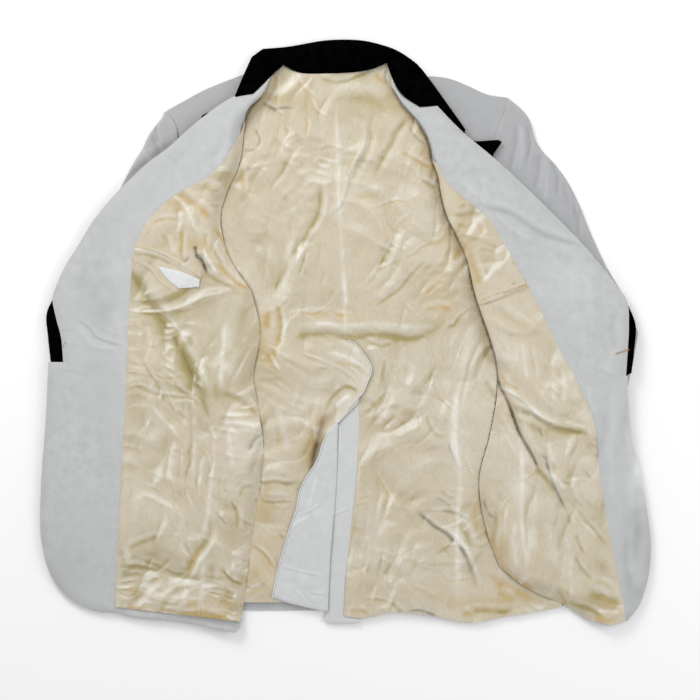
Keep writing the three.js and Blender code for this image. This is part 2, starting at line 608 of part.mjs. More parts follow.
// ---------------------------------------------------------------- facings, front linings, lapels
const insides = {};
const lapels = {};
for (const side of ['left', 'right']) {
  const left = side === 'left';
  const gorge = left ? backwards(GORGE.left) : GORGE.right;
  const [out, into] = left ? [toLeft, toRight] : [toRight, toLeft];
  const hemPoint = left ? [[-338, -378], [-318, -378]] : [[385, -389]];
  const fold = below(into(foldOf[side], -1), LINING_TOP[side]);
  const seam = below(into(seamOf[side], HALF_GAP), LINING_TOP[side] - 7);
  const split = soft(SIDE_FRONT_SEAM_LEFT).filter((p) => p[1] > -384);
  const hem = (x) => [x, -371 - (x + 318) * HEM_SLOPE];
  const linings = left ? {
    front: {
      wall: LINING,
      shape: outline(
        backwards(seam.filter((p) => p[1] > -370)), above(fold, SIDE_TOP + 4),
        [pointAt(fold, SIDE_TOP + HALF_GAP)], toLeft(split, HALF_GAP), [hem(-199.5), hem(-316)]),
    },
    side: {
      wall: LINING,
      shape: outline(
        backwards(toRight(below(split, SIDE_TOP - 4), HALF_GAP)),
        [pointAt(toRight(split, HALF_GAP), SIDE_TOP - SEAM_GAP), pointAt(fold, SIDE_TOP - SEAM_GAP)],
        below(fold, SIDE_TOP - 4), [hem(-145), hem(-198.7)]),
    },
  } : {
    front: {
      wall: LINING,
      shape: outline(backwards(fold), seam, [[382, -391], [362, -396], [342, -390]]),
    },
  };
  const bandOuter = soft(LAPEL_BAND[side].outer);
  const bandInner = soft(LAPEL_BAND[side].inner)
    .map(([x, y]) => [x + (left ? -SEAM_GAP : SEAM_GAP), y]).slice(0, -1);
  insides[side] = layLevel({
    facing: {
      wall: FACING,
      shape: outline(gorge, shellEdge(side), hemPoint, backwards(out(seamOf[side], HALF_GAP))),
    },
    ...linings,
    band: { wall: VELVET, shape: outline(bandOuter, bandInner) },
  }, () => 0, 1);
  const free = outline(
    bandOuter.filter((p) => p[1] > 4), bandInner.filter((p) => p[1] > 4 && p[1] < 50)
      .map(([x, y]) => [x + (left ? -2 : 2), y]));
  lapels[side] = cutOut(lapelUnder[side]).add(cutOut(insides[side].band))
    .add(turn(lapelUnder[side], insides[side].band, free));
}

// ---------------------------------------------------------------- pockets, label
const strip = (line, width) => outline(line, backwards(beside(line, width)));
const mouth = soft(POCKET_RIGHT.mouth);
const pocketPieces = {
  ...layLevel({
    inner_pocket_lip_upper_left: { wall: LINING, shape: strip(soft(POCKET_LEFT.upper), POCKET_LEFT.lip) },
    inner_pocket_lip_lower_left: { wall: LINING, shape: strip(soft(POCKET_LEFT.lower), -POCKET_LEFT.lip) },
    care_label: { wall: LINING, shape: LABEL },
  }, () => 0, 0),
  ...layLevel({
    inner_pocket_lip_upper_right: { wall: LINING, shape: strip(beside(mouth, HALF_GAP), POCKET_RIGHT.lip) },
    inner_pocket_lip_lower_right: { wall: LINING, shape: strip(beside(mouth, -HALF_GAP), -POCKET_RIGHT.lip) },
  }, () => 0, 0),
};

// ---------------------------------------------------------------- collar
// The stand lies outwards from the neck seam to the roll. At the back the leaf is folded under
// it and rests on the floor, and at the ends it lies on the shoulders.
function collar() {
  const fine = new Sections(CELL / COLLAR_PARTS);
  const edge = soft(COLLAR_EDGE);
  const inner = [...COLLAR_INNER.left, ...toRight(neck, 2 * SEAM_GAP), ...COLLAR_INNER.right];
  const shape = outline(edge, backwards(inner));
  const squares = fine.squaresUnder(shape);
  const nodes = [...new Set(squares.flatMap((square) => fine.corners(square)))];
  const height = (x, y) => {
    const [fromEdge, fromSeam] = [distanceTo(edge, x, y), distanceTo(inner, x, y)];
    const roll = COLLAR_RISE * THREE.MathUtils.smoothstep(fromSeam, 0, COLLAR_SLOPE);
    const round = COLLAR_ROUND * (1 - THREE.MathUtils.smoothstep(fromEdge, 0, COLLAR_ROUND_WIDTH));
    return Math.max(pileAt(x, y) + SEAM_GAP, COLLAR_SEAM + roll - round);
  };
  const stand = {
    shape, squares,
    bottom: new Map(nodes.map((n) => [n, height(...fine.place(n))])),
    top: new Map(nodes.map((n) => [n, height(...fine.place(n)) + VELVET])),
  };
  const backEdge = above(edge, COLLAR_BACK);
  const leafShape = outline(backEdge, backwards(COLLAR_LEAF));
  const flat = (z) => new Map(nodes.map((n) => [n, z]));
  const leaf = wallBetween(fine, squares, flat(0), flat(VELVET)).intersect(prism(leafShape));
  const rollShape = outline(backEdge, backwards(toRight(backEdge, -FOLD_BAND)));
  const roll = wallBetween(fine, squares, flat(0), stand.top).intersect(prism(rollShape));
  return cutOut(stand, fine).add(leaf).add(roll);
}

// ---------------------------------------------------------------- the scene
addPiece('back_left', cutOut(ground.backLeft).add(cutOut(ventFlap)).add(ventTurn), 'shell');
addPiece('back_right', cutOut(ground.backRight), 'shell');
addPiece('side_right', cutOut(ground.sideRight), 'shell');
addPiece('back_lining_left', cutOut(backLinings.left), 'lining');
addPiece('back_lining_right', cutOut(backLinings.right), 'lining');
addPiece('side_lining_right', cutOut(backLinings.side), 'lining');
addPiece('vent_facing_right', cutOut(backLinings.strip), 'shell');
for (const side of ['left', 'right']) {
  addPiece(`sleeve_${side}`, sleeves[side], 'shell');
  addPiece(`front_${side}`, frontSolid(side), 'shell');
  addPiece(`facing_${side}`, cutOut(insides[side].facing), 'shell');
  addPiece(`front_lining_${side}`, cutOut(insides[side].front), 'lining');
  addPiece(`lapel_${side}`, lapels[side], 'velvet');
}
addPiece('side_lining_left', cutOut(insides.left.side), 'lining');
for (const [name, panel] of Object.entries(pocketPieces)) {
  addPiece(name, cutOut(panel), name === 'care_label' ? 'label' : 'lining');
}
addPiece('collar', collar(), 'velvet');

export default jacket;
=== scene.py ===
import bpy
import numpy as np
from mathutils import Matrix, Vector
from mathutils.bvhtree import BVHTree
from mathutils.geometry import delaunay_2d_cdt
from mathutils.kdtree import KDTree


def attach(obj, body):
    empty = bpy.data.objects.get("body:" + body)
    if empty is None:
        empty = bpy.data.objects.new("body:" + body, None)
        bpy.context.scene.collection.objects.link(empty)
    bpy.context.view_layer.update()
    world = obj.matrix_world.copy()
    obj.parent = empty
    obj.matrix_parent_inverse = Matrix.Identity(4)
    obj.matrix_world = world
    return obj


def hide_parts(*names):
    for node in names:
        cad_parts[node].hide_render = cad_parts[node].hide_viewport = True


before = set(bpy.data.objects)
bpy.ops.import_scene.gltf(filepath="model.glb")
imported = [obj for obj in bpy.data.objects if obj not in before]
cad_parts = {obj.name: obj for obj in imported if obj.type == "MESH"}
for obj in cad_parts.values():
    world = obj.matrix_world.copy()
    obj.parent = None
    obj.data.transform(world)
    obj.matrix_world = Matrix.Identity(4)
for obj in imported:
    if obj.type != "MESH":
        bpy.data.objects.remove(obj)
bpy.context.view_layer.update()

# %% [markdown]
# ## Sizes
# Tables below are in millimetres, in the frame's own axes. Blender works in metres, so every
# mesh is scaled once, when it is made.
# %% Sizes
MM = 0.001
FINE = 2.1  # between points of a panel where its folds show
PLAIN = 7.0  # between points where a panel is hidden
CELL = 4.0  # between the heights that are read from the frame
REACH = 440.0  # those heights cover this far from the middle each way
SOFTNESS = 15.0  # how far the frame's flat facets are softened
SEAM = 0.2  # panels grow by this at their seams, to meet their neighbours

WALL = {"shell": 1.1, "lining": 0.5, "facing": 0.9, "velvet": 1.6, "label": 0.4}

# %% [markdown]
# ## The stage
# A jacket that lies flat is seen whole from straight above, so the camera looks down.
# A long lens far away keeps its outline free of perspective. The light is wide and soft, from the
# collar's side, and low enough for the folds to show.
# %% Camera, light and floor
VIEW_WIDTH = 0.959  # width of floor in view
VIEW_CENTRE = (0.0055, -0.0185)
CAMERA_HEIGHT = 2.3
CLOTH_HEIGHT = 0.012  # the view's width is measured at this height
SENSOR = 36.0


def make_camera():
    data = bpy.data.cameras.new("camera")
    data.sensor_width = SENSOR
    data.lens = SENSOR * (CAMERA_HEIGHT - CLOTH_HEIGHT) / VIEW_WIDTH
    camera = bpy.data.objects.new("camera", data)
    camera.location = (*VIEW_CENTRE, CAMERA_HEIGHT)
    bpy.context.scene.collection.objects.link(camera)
    bpy.context.scene.camera = camera


def make_light(name, place, size, power, colour=(1, 1, 1)):
    data = bpy.data.lights.new(name, "AREA")
    data.shape = "DISK"
    data.size = size
    data.energy = power
    data.color = colour
    light = bpy.data.objects.new(name, data)
    light.location = place
    light.rotation_euler = (-Vector(place)).to_track_quat("-Z", "Y").to_euler()
    bpy.context.scene.collection.objects.link(light)


def make_floor():
    size = 3.0
    corners = [(-size, -size, 0), (size, -size, 0), (size, size, 0), (-size, size, 0)]
    mesh = bpy.data.meshes.new("floor")
    mesh.from_pydata(corners, [], [(0, 1, 2, 3)])
    floor = bpy.data.objects.new("floor", mesh)
    bpy.context.scene.collection.objects.link(floor)
    paint = bpy.data.materials.new("floor")
    paint.use_nodes = True
    surface = paint.node_tree.nodes["Principled BSDF"]
    surface.inputs["Base Color"].default_value = (0.93, 0.93, 0.93, 1)
    surface.inputs["Roughness"].default_value = 0.9
    mesh.materials.append(paint)


def make_sky():
    world = bpy.data.worlds.new("studio")
    world.use_nodes = True
    background = world.node_tree.nodes["Background"]
    background.inputs["Color"].default_value = (1.0, 1.0, 1.0, 1)
    background.inputs["Strength"].default_value = 0.70
    bpy.context.scene.world = world


make_camera()
make_sky()
make_floor()
make_light("key", (-0.9, 1.5, 1.0), 0.8, 22.0, (1.0, 0.99, 0.97))
make_light("fill", (1.5, 0.2, 1.2), 1.2, 9.0, (0.97, 0.98, 1.0))
bpy.context.scene.view_settings.view_transform = "Standard"

# %% [markdown]
# ## Reading the frame
# Every panel's solid has a top and a bottom, and seen from above an outline. The outline of the
# faces that point up, or down, is one closed walk along the edges that only one face has.
# %% Outlines from the frame


def triangles_of(node):
    """The points, in millimetres, and triangles of a node, with its loose triangles joined."""
    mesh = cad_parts[node].data
    points = np.empty(len(mesh.vertices) * 3)
    mesh.vertices.foreach_get("co", points)
    mesh.calc_loop_triangles()
    corners = np.empty(len(mesh.loop_triangles) * 3, dtype=np.int32)
    mesh.loop_triangles.foreach_get("vertices", corners)
    joined, where = np.unique(np.round(points.reshape(-1, 3) / MM, 2), axis=0, return_inverse=True)
    return joined, where.reshape(-1)[corners].reshape(-1, 3)


def walks(node, up):
    """Closed walks round the faces that point up (1) or down (-1), as lists of 3-D points."""
    points, triangles = triangles_of(node)
    a, b, c = (points[triangles[:, i]] for i in range(3))
    normal = np.cross(b - a, c - a)
    size = np.linalg.norm(normal, axis=1)
    level = triangles[(normal[:, 2] * up > 0.3 * size) & (size > 0)]
    edges = {(t[i], t[(i + 1) % 3]) for t in level.tolist() for i in range(3)}
    leave = {}
    for start, end in sorted(edges):
        if (end, start) not in edges:
            leave.setdefault(start, []).append(end)
    found = []
    while leave:
        first = next(iter(leave))
        walk = [first]
        while leave.get(walk[-1]):
            step = leave[walk[-1]].pop()
            if not leave[walk[-1]]:
                del leave[walk[-1]]
            if step == first:
                break
            walk.append(step)
        if len(walk) > 3:
            found.append(points[walk])
    return found


def plan_area(loop):
    x, y = loop[:, 0], loop[:, 1]
    return 0.5 * float(np.sum(x * np.roll(y, -1) - y * np.roll(x, -1)))


SLACK = 0.25  # a point nearer than this to its neighbours' line is left out
CORNER = 0.5  # a turn of more radians than this stays a corner
LARGE = 300.0  # square millimetres; smaller walks are left out


def thin(loop):
    """Leaves out the points that lie on the straight line between their neighbours."""
    kept = [p for p in loop[:, :2]]
    again = True
    while again and len(kept) > 4:
        again = False
        i = 0
        while i < len(kept) and len(kept) > 4:
            before, point, after = kept[i - 1], kept[i], kept[(i + 1) % len(kept)]
            along = after - before
            length = np.hypot(*along)
            back = point - before
            away = abs(along[0] * back[1] - along[1] * back[0]) / max(length, 1e-6)
            if away < SLACK:
                kept.pop(i)
                again = True
            else:
                i += 1
    return np.array(kept)


def spline(points, step):
    """A soft line through the points, about step millimetres between samples."""
    points = np.asarray(points, dtype=float)
    if len(points) < 3:
        count = max(int(np.hypot(*(points[-1] - points[0])[:2]) / step), 1)
        t = np.linspace(0, 1, count + 1)[:, None]
        return points[0] * (1 - t) + points[-1] * t
    ends = np.vstack([2 * points[0] - points[1], points, 2 * points[-1] - points[-2]])
    out = []
    for p0, p1, p2, p3 in zip(ends[:-3], ends[1:-2], ends[2:-1], ends[3:]):
        spans = [max(np.linalg.norm(b - a), 1e-6) ** 0.5 for a, b in ((p0, p1), (p1, p2), (p2, p3))]
        t0, t1, t2, t3 = np.cumsum([0, *spans])
        t = np.linspace(t1, t2, max(int(np.linalg.norm(p2 - p1) / step), 1) + 1)[:-1, None]
        a1 = (t1 - t) / (t1 - t0) * p0 + (t - t0) / (t1 - t0) * p1
        a2 = (t2 - t) / (t2 - t1) * p1 + (t - t1) / (t2 - t1) * p2
        a3 = (t3 - t) / (t3 - t2) * p2 + (t - t2) / (t3 - t2) * p3
        b1 = (t2 - t) / (t2 - t0) * a1 + (t - t0) / (t2 - t0) * a2
        b2 = (t3 - t) / (t3 - t1) * a2 + (t - t1) / (t3 - t1) * a3
        out.append((t2 - t) / (t2 - t1) * b1 + (t - t1) / (t2 - t1) * b2)
    return np.vstack([*out, points[-1:]])


def soften(loop, step):
    """The same outline with soft curves between its true corners."""
    loop = thin(loop)
    before, after = loop - np.roll(loop, 1, axis=0), np.roll(loop, -1, axis=0) - loop
    turn = np.arctan2(before[:, 0] * after[:, 1] - before[:, 1] * after[:, 0], (before * after).sum(1))
    sharp = [i for i in range(len(loop)) if abs(turn[i]) > CORNER]
    if len(sharp) < 2:
        return spline(np.vstack([loop, loop[:1]]), step)[:-1]
    loop = np.roll(loop, -sharp[0], axis=0)
    sharp = [i - sharp[0] for i in sharp] + [len(loop)]
    loop = np.vstack([loop, loop[:1]])
    return np.vstack([spline(loop[i:j + 1], step)[:-1] for i, j in zip(sharp[:-1], sharp[1:])])


def grown(loop, by):
    """The same outline, by millimetres wider all round."""
    along = np.roll(loop, -1, axis=0) - np.roll(loop, 1, axis=0)
    along /= np.maximum(np.linalg.norm(along, axis=1), 1e-6)[:, None]
    return loop + by * np.column_stack([along[:, 1], -along[:, 0]])


def large_walks(node, up):
    return [w for w in walks(node, up) if abs(plan_area(w)) > LARGE]


def outline_of(node, up=1, pick=max):
    """The softened outline of a node's upper (or lower) leaf: the highest or lowest large walk."""
    loop = pick(large_walks(node, up), key=lambda w: w[:, 2].mean())
    return grown(soften(loop if plan_area(loop) > 0 else loop[::-1], FINE), SEAM)


# %% [markdown]
# ## Heights from the frame
# A ray dropped on a solid gives the height of its top. Heights on a square grid are then blurred,
# which turns the solid's flat facets into the soft swell of cloth.
# %% Heights from the frame
GRID = np.arange(-REACH, REACH + CELL, CELL)


def heights_of(nodes, above=True):
    found = np.full((len(GRID), len(GRID)), np.nan)
    drop = Vector((0, 0, -1 if above else 1))
    for node in nodes:
        points, triangles = triangles_of(node)
        tree = BVHTree.FromPolygons(points.tolist(), triangles.tolist())
        low, high = points.min(0), points.max(0)
        for j in np.nonzero((GRID >= low[1]) & (GRID <= high[1]))[0]:
            for i in np.nonzero((GRID >= low[0]) & (GRID <= high[0]))[0]:
                hit = tree.ray_cast(Vector((GRID[i], GRID[j], 100 if above else -100)), drop)[0]
                if hit is not None and not found[j, i] > hit.z:
                    found[j, i] = hit.z
    return found


def blurred(values, softness):
    reach = int(3 * softness / CELL)
    kernel = np.exp(-((np.arange(-reach, reach + 1) * CELL / softness) ** 2) / 2)
    for axis in (0, 1):
        values = np.apply_along_axis(lambda line: np.convolve(line, kernel, mode="same"), axis, values)
    return values


class Relief:
    """Softened heights that can be read at any point."""

    def __init__(self, nodes, softness=SOFTNESS, above=True, empty=None):
        raw = heights_of(nodes, above)
        if empty is not None:
            raw = np.where(np.isnan(raw), empty, raw)
        known = ~np.isnan(raw)
        weight = blurred(known.astype(float), softness)
        total = blurred(np.where(known, raw, 0.0), softness)
        self.values = np.where(weight > 1e-3, total / np.maximum(weight, 1e-3), raw[known].mean())

    def __call__(self, x, y):
        u = np.clip((x + REACH) / CELL, 0, len(GRID) - 1.001)
        v = np.clip((y + REACH) / CELL, 0, len(GRID) - 1.001)
        i, j = u.astype(int), v.astype(int)
        u, v = u - i, v - j
        h = self.values
        low = h[j, i] * (1 - u) + h[j, i + 1] * u
        high = h[j + 1, i] * (1 - u) + h[j + 1, i + 1] * u
        return low * (1 - v) + high * v


SIDES = ("left", "right")
inside = {
    "left": Relief(["facing_left", "front_lining_left", "side_lining_left"]),
    "right": Relief(["facing_right", "front_lining_right"]),
}
back_top = Relief(["back_lining_left", "back_lining_right", "side_lining_right", "vent_facing_right"])
print("heights read:", {side: round(float(inside[side].values.max()), 1) for side in SIDES})

# %% [markdown]
# ## Folds placed one by one
# Cloth that lies loose has a few main folds, which decide how it looks, and many faint creases.
# The main ones are rows of a table: the line that the fold follows, half its width, its height
# (a trough is negative), the tint painted in it, how strong that tint is, and the side on
# which it falls away steeply. Olive, tan and dark are painted shade, and light is a painted
# highlight, except along the seams, where it is their pale pressed stripe.
# %% How a fold lifts and tints the cloth
OLIVE, TAN, DARK, LIGHT = range(4)  # places of the painted shade and highlight tints in the colour kept on each point
LEFT_OF = 1  # a fold's left side, along its line; -1 is right, 0 is neither
FOLD_RELIEF = 0.56  # the tables' heights are those of stiff cloth; satin is softer
PLAIN_ROW = (None, 0, 0)  # tint, its strength and steep side, where a row leaves them out
FOLD_REACH = 3.2  # a fold is felt this many half widths away
FOLD_ENDS = 0.22  # it starts, and ends, over this share of its length
STEEP_HALF = 0.34  # half width on the steep side, as a share of the other
STEEP_DIP = 0.3  # hollow at the foot of the steep side, as a share of the rise
CORE, HALO = 0.9, 0.42  # strengths of a painted tint, mostly painted shade, in the fold and round it
BESIDE_LIGHT, CREST_LIGHT = 0.34, 0.2  # painted highlights beside a trough and along a crest


def nearest_on(path, x, y):
    """Distance to a path, its side (1 is left, -1 right) and the share of the path walked."""
    best = np.full(x.shape, 1e9)
    side = np.ones(x.shape)
    walked = np.zeros(x.shape)
    lengths = np.linalg.norm(np.diff(path, axis=0), axis=1)
    starts = np.concatenate([[0], np.cumsum(lengths)])
    for (ax, ay), (bx, by), length, start in zip(path[:-1], path[1:], lengths, starts):
        dx, dy = bx - ax, by - ay
        t = np.clip(((x - ax) * dx + (y - ay) * dy) / max(length, 1e-6) ** 2, 0, 1)
        gap = np.hypot(x - ax - t * dx, y - ay - t * dy)
        nearer = gap < best
        best = np.where(nearer, gap, best)
        side = np.where(nearer, np.where(dx * (y - ay) - dy * (x - ax) >= 0, 1, -1), side)
        walked = np.where(nearer, (start + t * length) / starts[-1], walked)
    return best, side, walked


def bell(away, width):
    """1 at the middle of a line, falling to nothing soon beyond width."""
    return np.exp(-((away / width) ** 2))


def add_fold(row, x, y, height, tints):
    path, width, rise, tint, strength, steep = (*row, *PLAIN_ROW[len(row) - 3:])
    path = spline(np.array(path, dtype=float), 5.0)
    reach = FOLD_REACH * width
    close = ((x > path[:, 0].min() - reach) & (x < path[:, 0].max() + reach)
             & (y > path[:, 1].min() - reach) & (y < path[:, 1].max() + reach))
    if not close.any():
        return
    gap, side, walked = nearest_on(path, x[close], y[close])
    ends = ramp(np.minimum(walked, 1 - walked), 0, FOLD_ENDS)
    half = np.where(side == steep, STEEP_HALF * width, width)
    shape = np.exp(-np.power(gap / half, 1.6))
    height[close] += FOLD_RELIEF * rise * shape * ends
    if steep:
        dip = bell(gap - 0.75 * width, 0.4 * width) * (side == steep)
        height[close] -= STEEP_DIP * FOLD_RELIEF * rise * dip * ends
    if tint is not None:
        # the fold's painted shade or highlight, stronger in some places than others
        uneven_tint = np.clip(0.9 + 0.4 * drift(x[close], y[close], 11, 71), 0.4, 1.3)
        core = bell(gap, 0.3 * width + 0.7)
        halo = bell(gap, 1.7 * width) * np.where(side == LEFT_OF, 1.0, 0.55)
        tints[close, tint] += strength * uneven_tint * (CORE * core + HALO * halo) * np.sqrt(ends)
    # painted highlights beside a trough and along a crest
    if tint is not None and rise < 0:
        beside = bell(gap * side - 1.1 * width - 1, 0.45 * width + 0.6)
        tints[close, LIGHT] += BESIDE_LIGHT * beside * ends
    if rise > 0:
        crest = bell(gap, 0.28 * width + 0.8)
        tints[close, LIGHT] += CREST_LIGHT * crest * ends


def folds_at(tables, x, y):
    height = np.zeros(x.shape)
    tints = np.zeros((*x.shape, 4))
    for table in tables:
        for row in table:
            add_fold(row, x, y, height, tints)
    return height, np.clip(tints, 0, 1)


# %% [markdown]
# ## Creases too small to place
# Faint creases cross each other in all directions. Folding a smooth random height at zero gives
# sharp crests that wander, and adding a few sizes of them gives crumpled satin. The random
# numbers are seeded, so that every run gives the same cloth.
# %% Small creases
LATTICE = 128  # random heights along each side of the pattern
LATTICE_START = (64.37, 64.61)  # the jacket's middle is here on it, off the lattice's points


def drift(x, y, size, seed):
    """Smooth random heights from -1 to 1 that change over about size millimetres."""
    lattice = np.random.default_rng(seed).uniform(-1, 1, (LATTICE, LATTICE))
    u, v = x / size + LATTICE_START[0], y / size + LATTICE_START[1]
    i, j = np.floor(u).astype(int), np.floor(v).astype(int)
    u, v = u - i, v - j
    u, v = u * u * (3 - 2 * u), v * v * (3 - 2 * v)
    i, j = i % LATTICE, j % LATTICE
    k, m = (i + 1) % LATTICE, (j + 1) % LATTICE
    low = lattice[j, i] * (1 - u) + lattice[j, k] * u
    high = lattice[m, i] * (1 - u) + lattice[m, k] * u
    return low * (1 - v) + high * v


def ramp(value, low, high):
    t = np.clip((value - low) / (high - low), 0, 1)
    return t * t * (3 - 2 * t)


CRUMPLES = [  # size of the pattern, height (crests or, if negative, valleys), length to width
    (80.0, 3.0, 1.5),
    (50.0, -2.6, 1.9),
    (31.0, 1.7, 2.2),
    (19.0, -1.1, 1.9),
    (12.0, 0.6, 1.6),
]


def crumpled(x, y, seed, lean):
    """Small creases, mostly along the direction that leans lean radians from +X."""
    bent_x = x + 34 * drift(x, y, 120, seed) + 9 * drift(x, y, 43, seed + 7)
    bent_x = bent_x + 2 * drift(x, y, 15, seed + 8)
    bent_y = y + 34 * drift(x, y, 120, seed + 1) + 9 * drift(x, y, 43, seed + 9)
    total = np.zeros(x.shape)
    for step, (size, rise, longer) in enumerate(CRUMPLES):
        turn = lean + 0.6 * (-1) ** step
        along = (bent_x * np.cos(turn) + bent_y * np.sin(turn)) / longer
        across = bent_y * np.cos(turn) - bent_x * np.sin(turn)
        crest = 0.7 - 2 * np.abs(drift(along, across, size, seed + 12 + step))
        patch = np.clip(0.65 + 0.6 * drift(x, y, 95, seed + 40 + step), 0.1, 1.3)
        total += rise * patch * crest
    return total


CREASE_RELIEF = 0.72  # share of the creases' height that the mesh takes on
TOWARDS_LIGHT = (-0.52, 0.85)
FACET_STEP = 1.6  # the slope of a facet is measured over this


def satin(x, y, seed, lean, share=1.0):
    """Small creases, with painted highlight on facets towards the light and painted shade away from it.
    """
    here = crumpled(x, y, seed, lean)
    ahead_x, ahead_y = x + FACET_STEP * TOWARDS_LIGHT[0], y + FACET_STEP * TOWARDS_LIGHT[1]
    slope = (crumpled(ahead_x, ahead_y, seed, lean) - here) / FACET_STEP
    tints = np.zeros((*x.shape, 4))
    tints[..., LIGHT] = share * (0.62 * ramp(-slope, 0.03, 0.34) + 0.12 * ramp(here, 0.8, 3.2))
    tints[..., OLIVE] = share * (0.5 * ramp(slope, 0.04, 0.4) + 0.24 * ramp(-here, 0.6, 3.6))
    golden = np.clip(drift(x, y, 70, seed + 60) + 0.2, 0, 1)
    tints[..., TAN] = share * 0.45 * golden * ramp(slope, 0.1, 0.5)
    return CREASE_RELIEF * here, tints


def tinted_ovals(stains, x, y, tints):
    """Broad patches, painted sheen or painted shade: each is an oval with an uneven edge."""
    for step, ((cx, cy), (rx, ry), turn, tint, strength) in enumerate(stains):
        turn = np.radians(turn)
        u = ((x - cx) * np.cos(turn) + (y - cy) * np.sin(turn)) / rx
        v = ((y - cy) * np.cos(turn) - (x - cx) * np.sin(turn)) / ry
        oval = np.exp(-np.power(u * u + v * v, 1.3))
        uneven_tint = np.clip(0.7 + 0.9 * drift(x, y, 17, 500 + step), 0.1, 1.4)
        tints[:, tint] += strength * oval * uneven_tint
    return tints


# %% [markdown]
# ## Cutting a panel
# A panel's points are its softened outline and a net of points inside it, close together where
# folds show. A triangulation that respects the outline joins them. Solidify then gives the cloth
# its wall, and the edges are rounded by letting the last few millimetres fall.
# %% Panels from outlines


def inside_of(outline, x, y):
    hit = np.zeros(x.shape, dtype=bool)
    ends = np.roll(outline, -1, axis=0)
    for (ax, ay), (bx, by) in zip(outline, ends):
        if ay == by:
            continue
        crosses = (ay > y) != (by > y)
        hit ^= crosses & (x < (bx - ax) * (y - ay) / (by - ay) + ax)
    return hit


def net(outline, spacing):
    low, high = outline.min(0), outline.max(0)
    rows = np.arange(low[1], high[1], spacing * 0.866)
    points = []
    for n, y in enumerate(rows):
        x = np.arange(low[0] + (n % 2) * spacing / 2, high[0], spacing)
        points.append(np.stack([x, np.full(len(x), y)], 1))
    return np.vstack(points)


def tree_of(points):
    tree = KDTree(len(points))
    for i, (x, y) in enumerate(points):
        tree.insert((x, y, 0), i)
    tree.balance()
    return tree


def edge_gap(outline, x, y):
    """Distance from each point to the outline."""
    tree = tree_of(outline)
    return np.array([tree.find((a, b, 0))[2] for a, b in zip(x, y)])


def cut_panel(outline, shows=None):
    """Points and triangles inside an outline, fine where shows(x, y) and plain elsewhere."""
    ring = spline(np.vstack([outline, outline[:1]]), FINE)[:-1]
    fine = net(ring, FINE)
    if shows is not None:
        fine = fine[shows(fine[:, 0], fine[:, 1])]
        wide = net(ring, PLAIN)
        wide = wide[~shows(wide[:, 0], wide[:, 1])]
        fine = np.vstack([fine, wide])
    fine = fine[inside_of(ring, fine[:, 0], fine[:, 1])]
    fine = fine[edge_gap(ring, fine[:, 0], fine[:, 1]) > 0.62 * FINE]
    points = [Vector(p) for p in np.vstack([ring, fine])]
    rim = [(i, (i + 1) % len(ring)) for i in range(len(ring))]
    made = delaunay_2d_cdt(points, rim, [], 0, 1e-4, False)
    plan = np.array([tuple(p) for p in made[0]])
    faces = np.array(made[2])
    middle = plan[faces].mean(axis=1)
    return plan, faces[inside_of(ring, middle[:, 0], middle[:, 1])].tolist()


LEAST_FILL = 0.32  # declare works out a width as if a sheet filled this share of its rectangle
NARROWEST = 0.0101  # metres; that width is never less than this, and nothing uses it


def plan_cut(outline, leaves=1.0):
    """Width, length and area of the smallest rectangle and the cut, in metres."""
    best = None
    for turn in np.radians(np.arange(0, 180, 3)):
        u = outline @ np.array([np.cos(turn), np.sin(turn)])
        v = outline @ np.array([-np.sin(turn), np.cos(turn)])
        size = (np.ptp(u), np.ptp(v))
        if best is None or size[0] * size[1] < best[0] * best[1]:
            best = size
    width, length = sorted(best)
    return width * MM, length * MM, abs(plan_area(outline)) * leaves * MM * MM


def new_piece(name, points, faces, material, wall=0.0, tints=None):
    """A mesh object in metres with smooth faces, its tints and a live wall."""
    mesh = bpy.data.meshes.new(name)
    mesh.from_pydata((points * MM).tolist(), [], faces)
    mesh.validate()
    mesh.polygons.foreach_set("use_smooth", [True] * len(mesh.polygons))
    uses = np.empty(len(mesh.loops), dtype=np.int32)
    mesh.loops.foreach_get("edge_index", uses)
    free = np.bincount(uses, minlength=len(mesh.edges)) == 1
    mesh.attributes.new("sharp_edge", "BOOLEAN", "EDGE").data.foreach_set("value", free)
    layer = mesh.attributes.new("folds", "FLOAT_COLOR", "POINT")
    values = np.zeros((len(points), 4)) if tints is None else tints
    layer.data.foreach_set("color", values.astype(np.float32).ravel())
    mesh.materials.append(material)
    piece = bpy.data.objects.new(name, mesh)
    bpy.context.scene.collection.objects.link(piece)
    if wall:
        shell = piece.modifiers.new("wall", "SOLIDIFY")
        shell.thickness = wall * MM
        shell.offset = -1.0
    return piece


def lay_cloth(name, outline, height, cloth, nodes, shows=None):
    material, slot = CLOTHS[cloth]
    plan, faces = cut_panel(outline, shows)
    x, y = plan[:, 0], plan[:, 1]
    z, tints = height(x, y, edge_gap(outline, x, y))
    piece = new_piece(name, np.column_stack([x, y, z]), faces, material, WALL[cloth], tints)
    declare(piece, outline, nodes)
    print(f"{name}: {len(faces)} faces, {z.min():.1f} to {z.max():.1f} mm high")
    return piece


def declare(piece, outline, nodes, leaves=1.0):
    width, length, area = plan_cut(outline, leaves)
    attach(piece, "root")
    if nodes:
        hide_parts(*nodes)
    width = max(min(width * leaves, area / (LEAST_FILL * length)), NARROWEST)

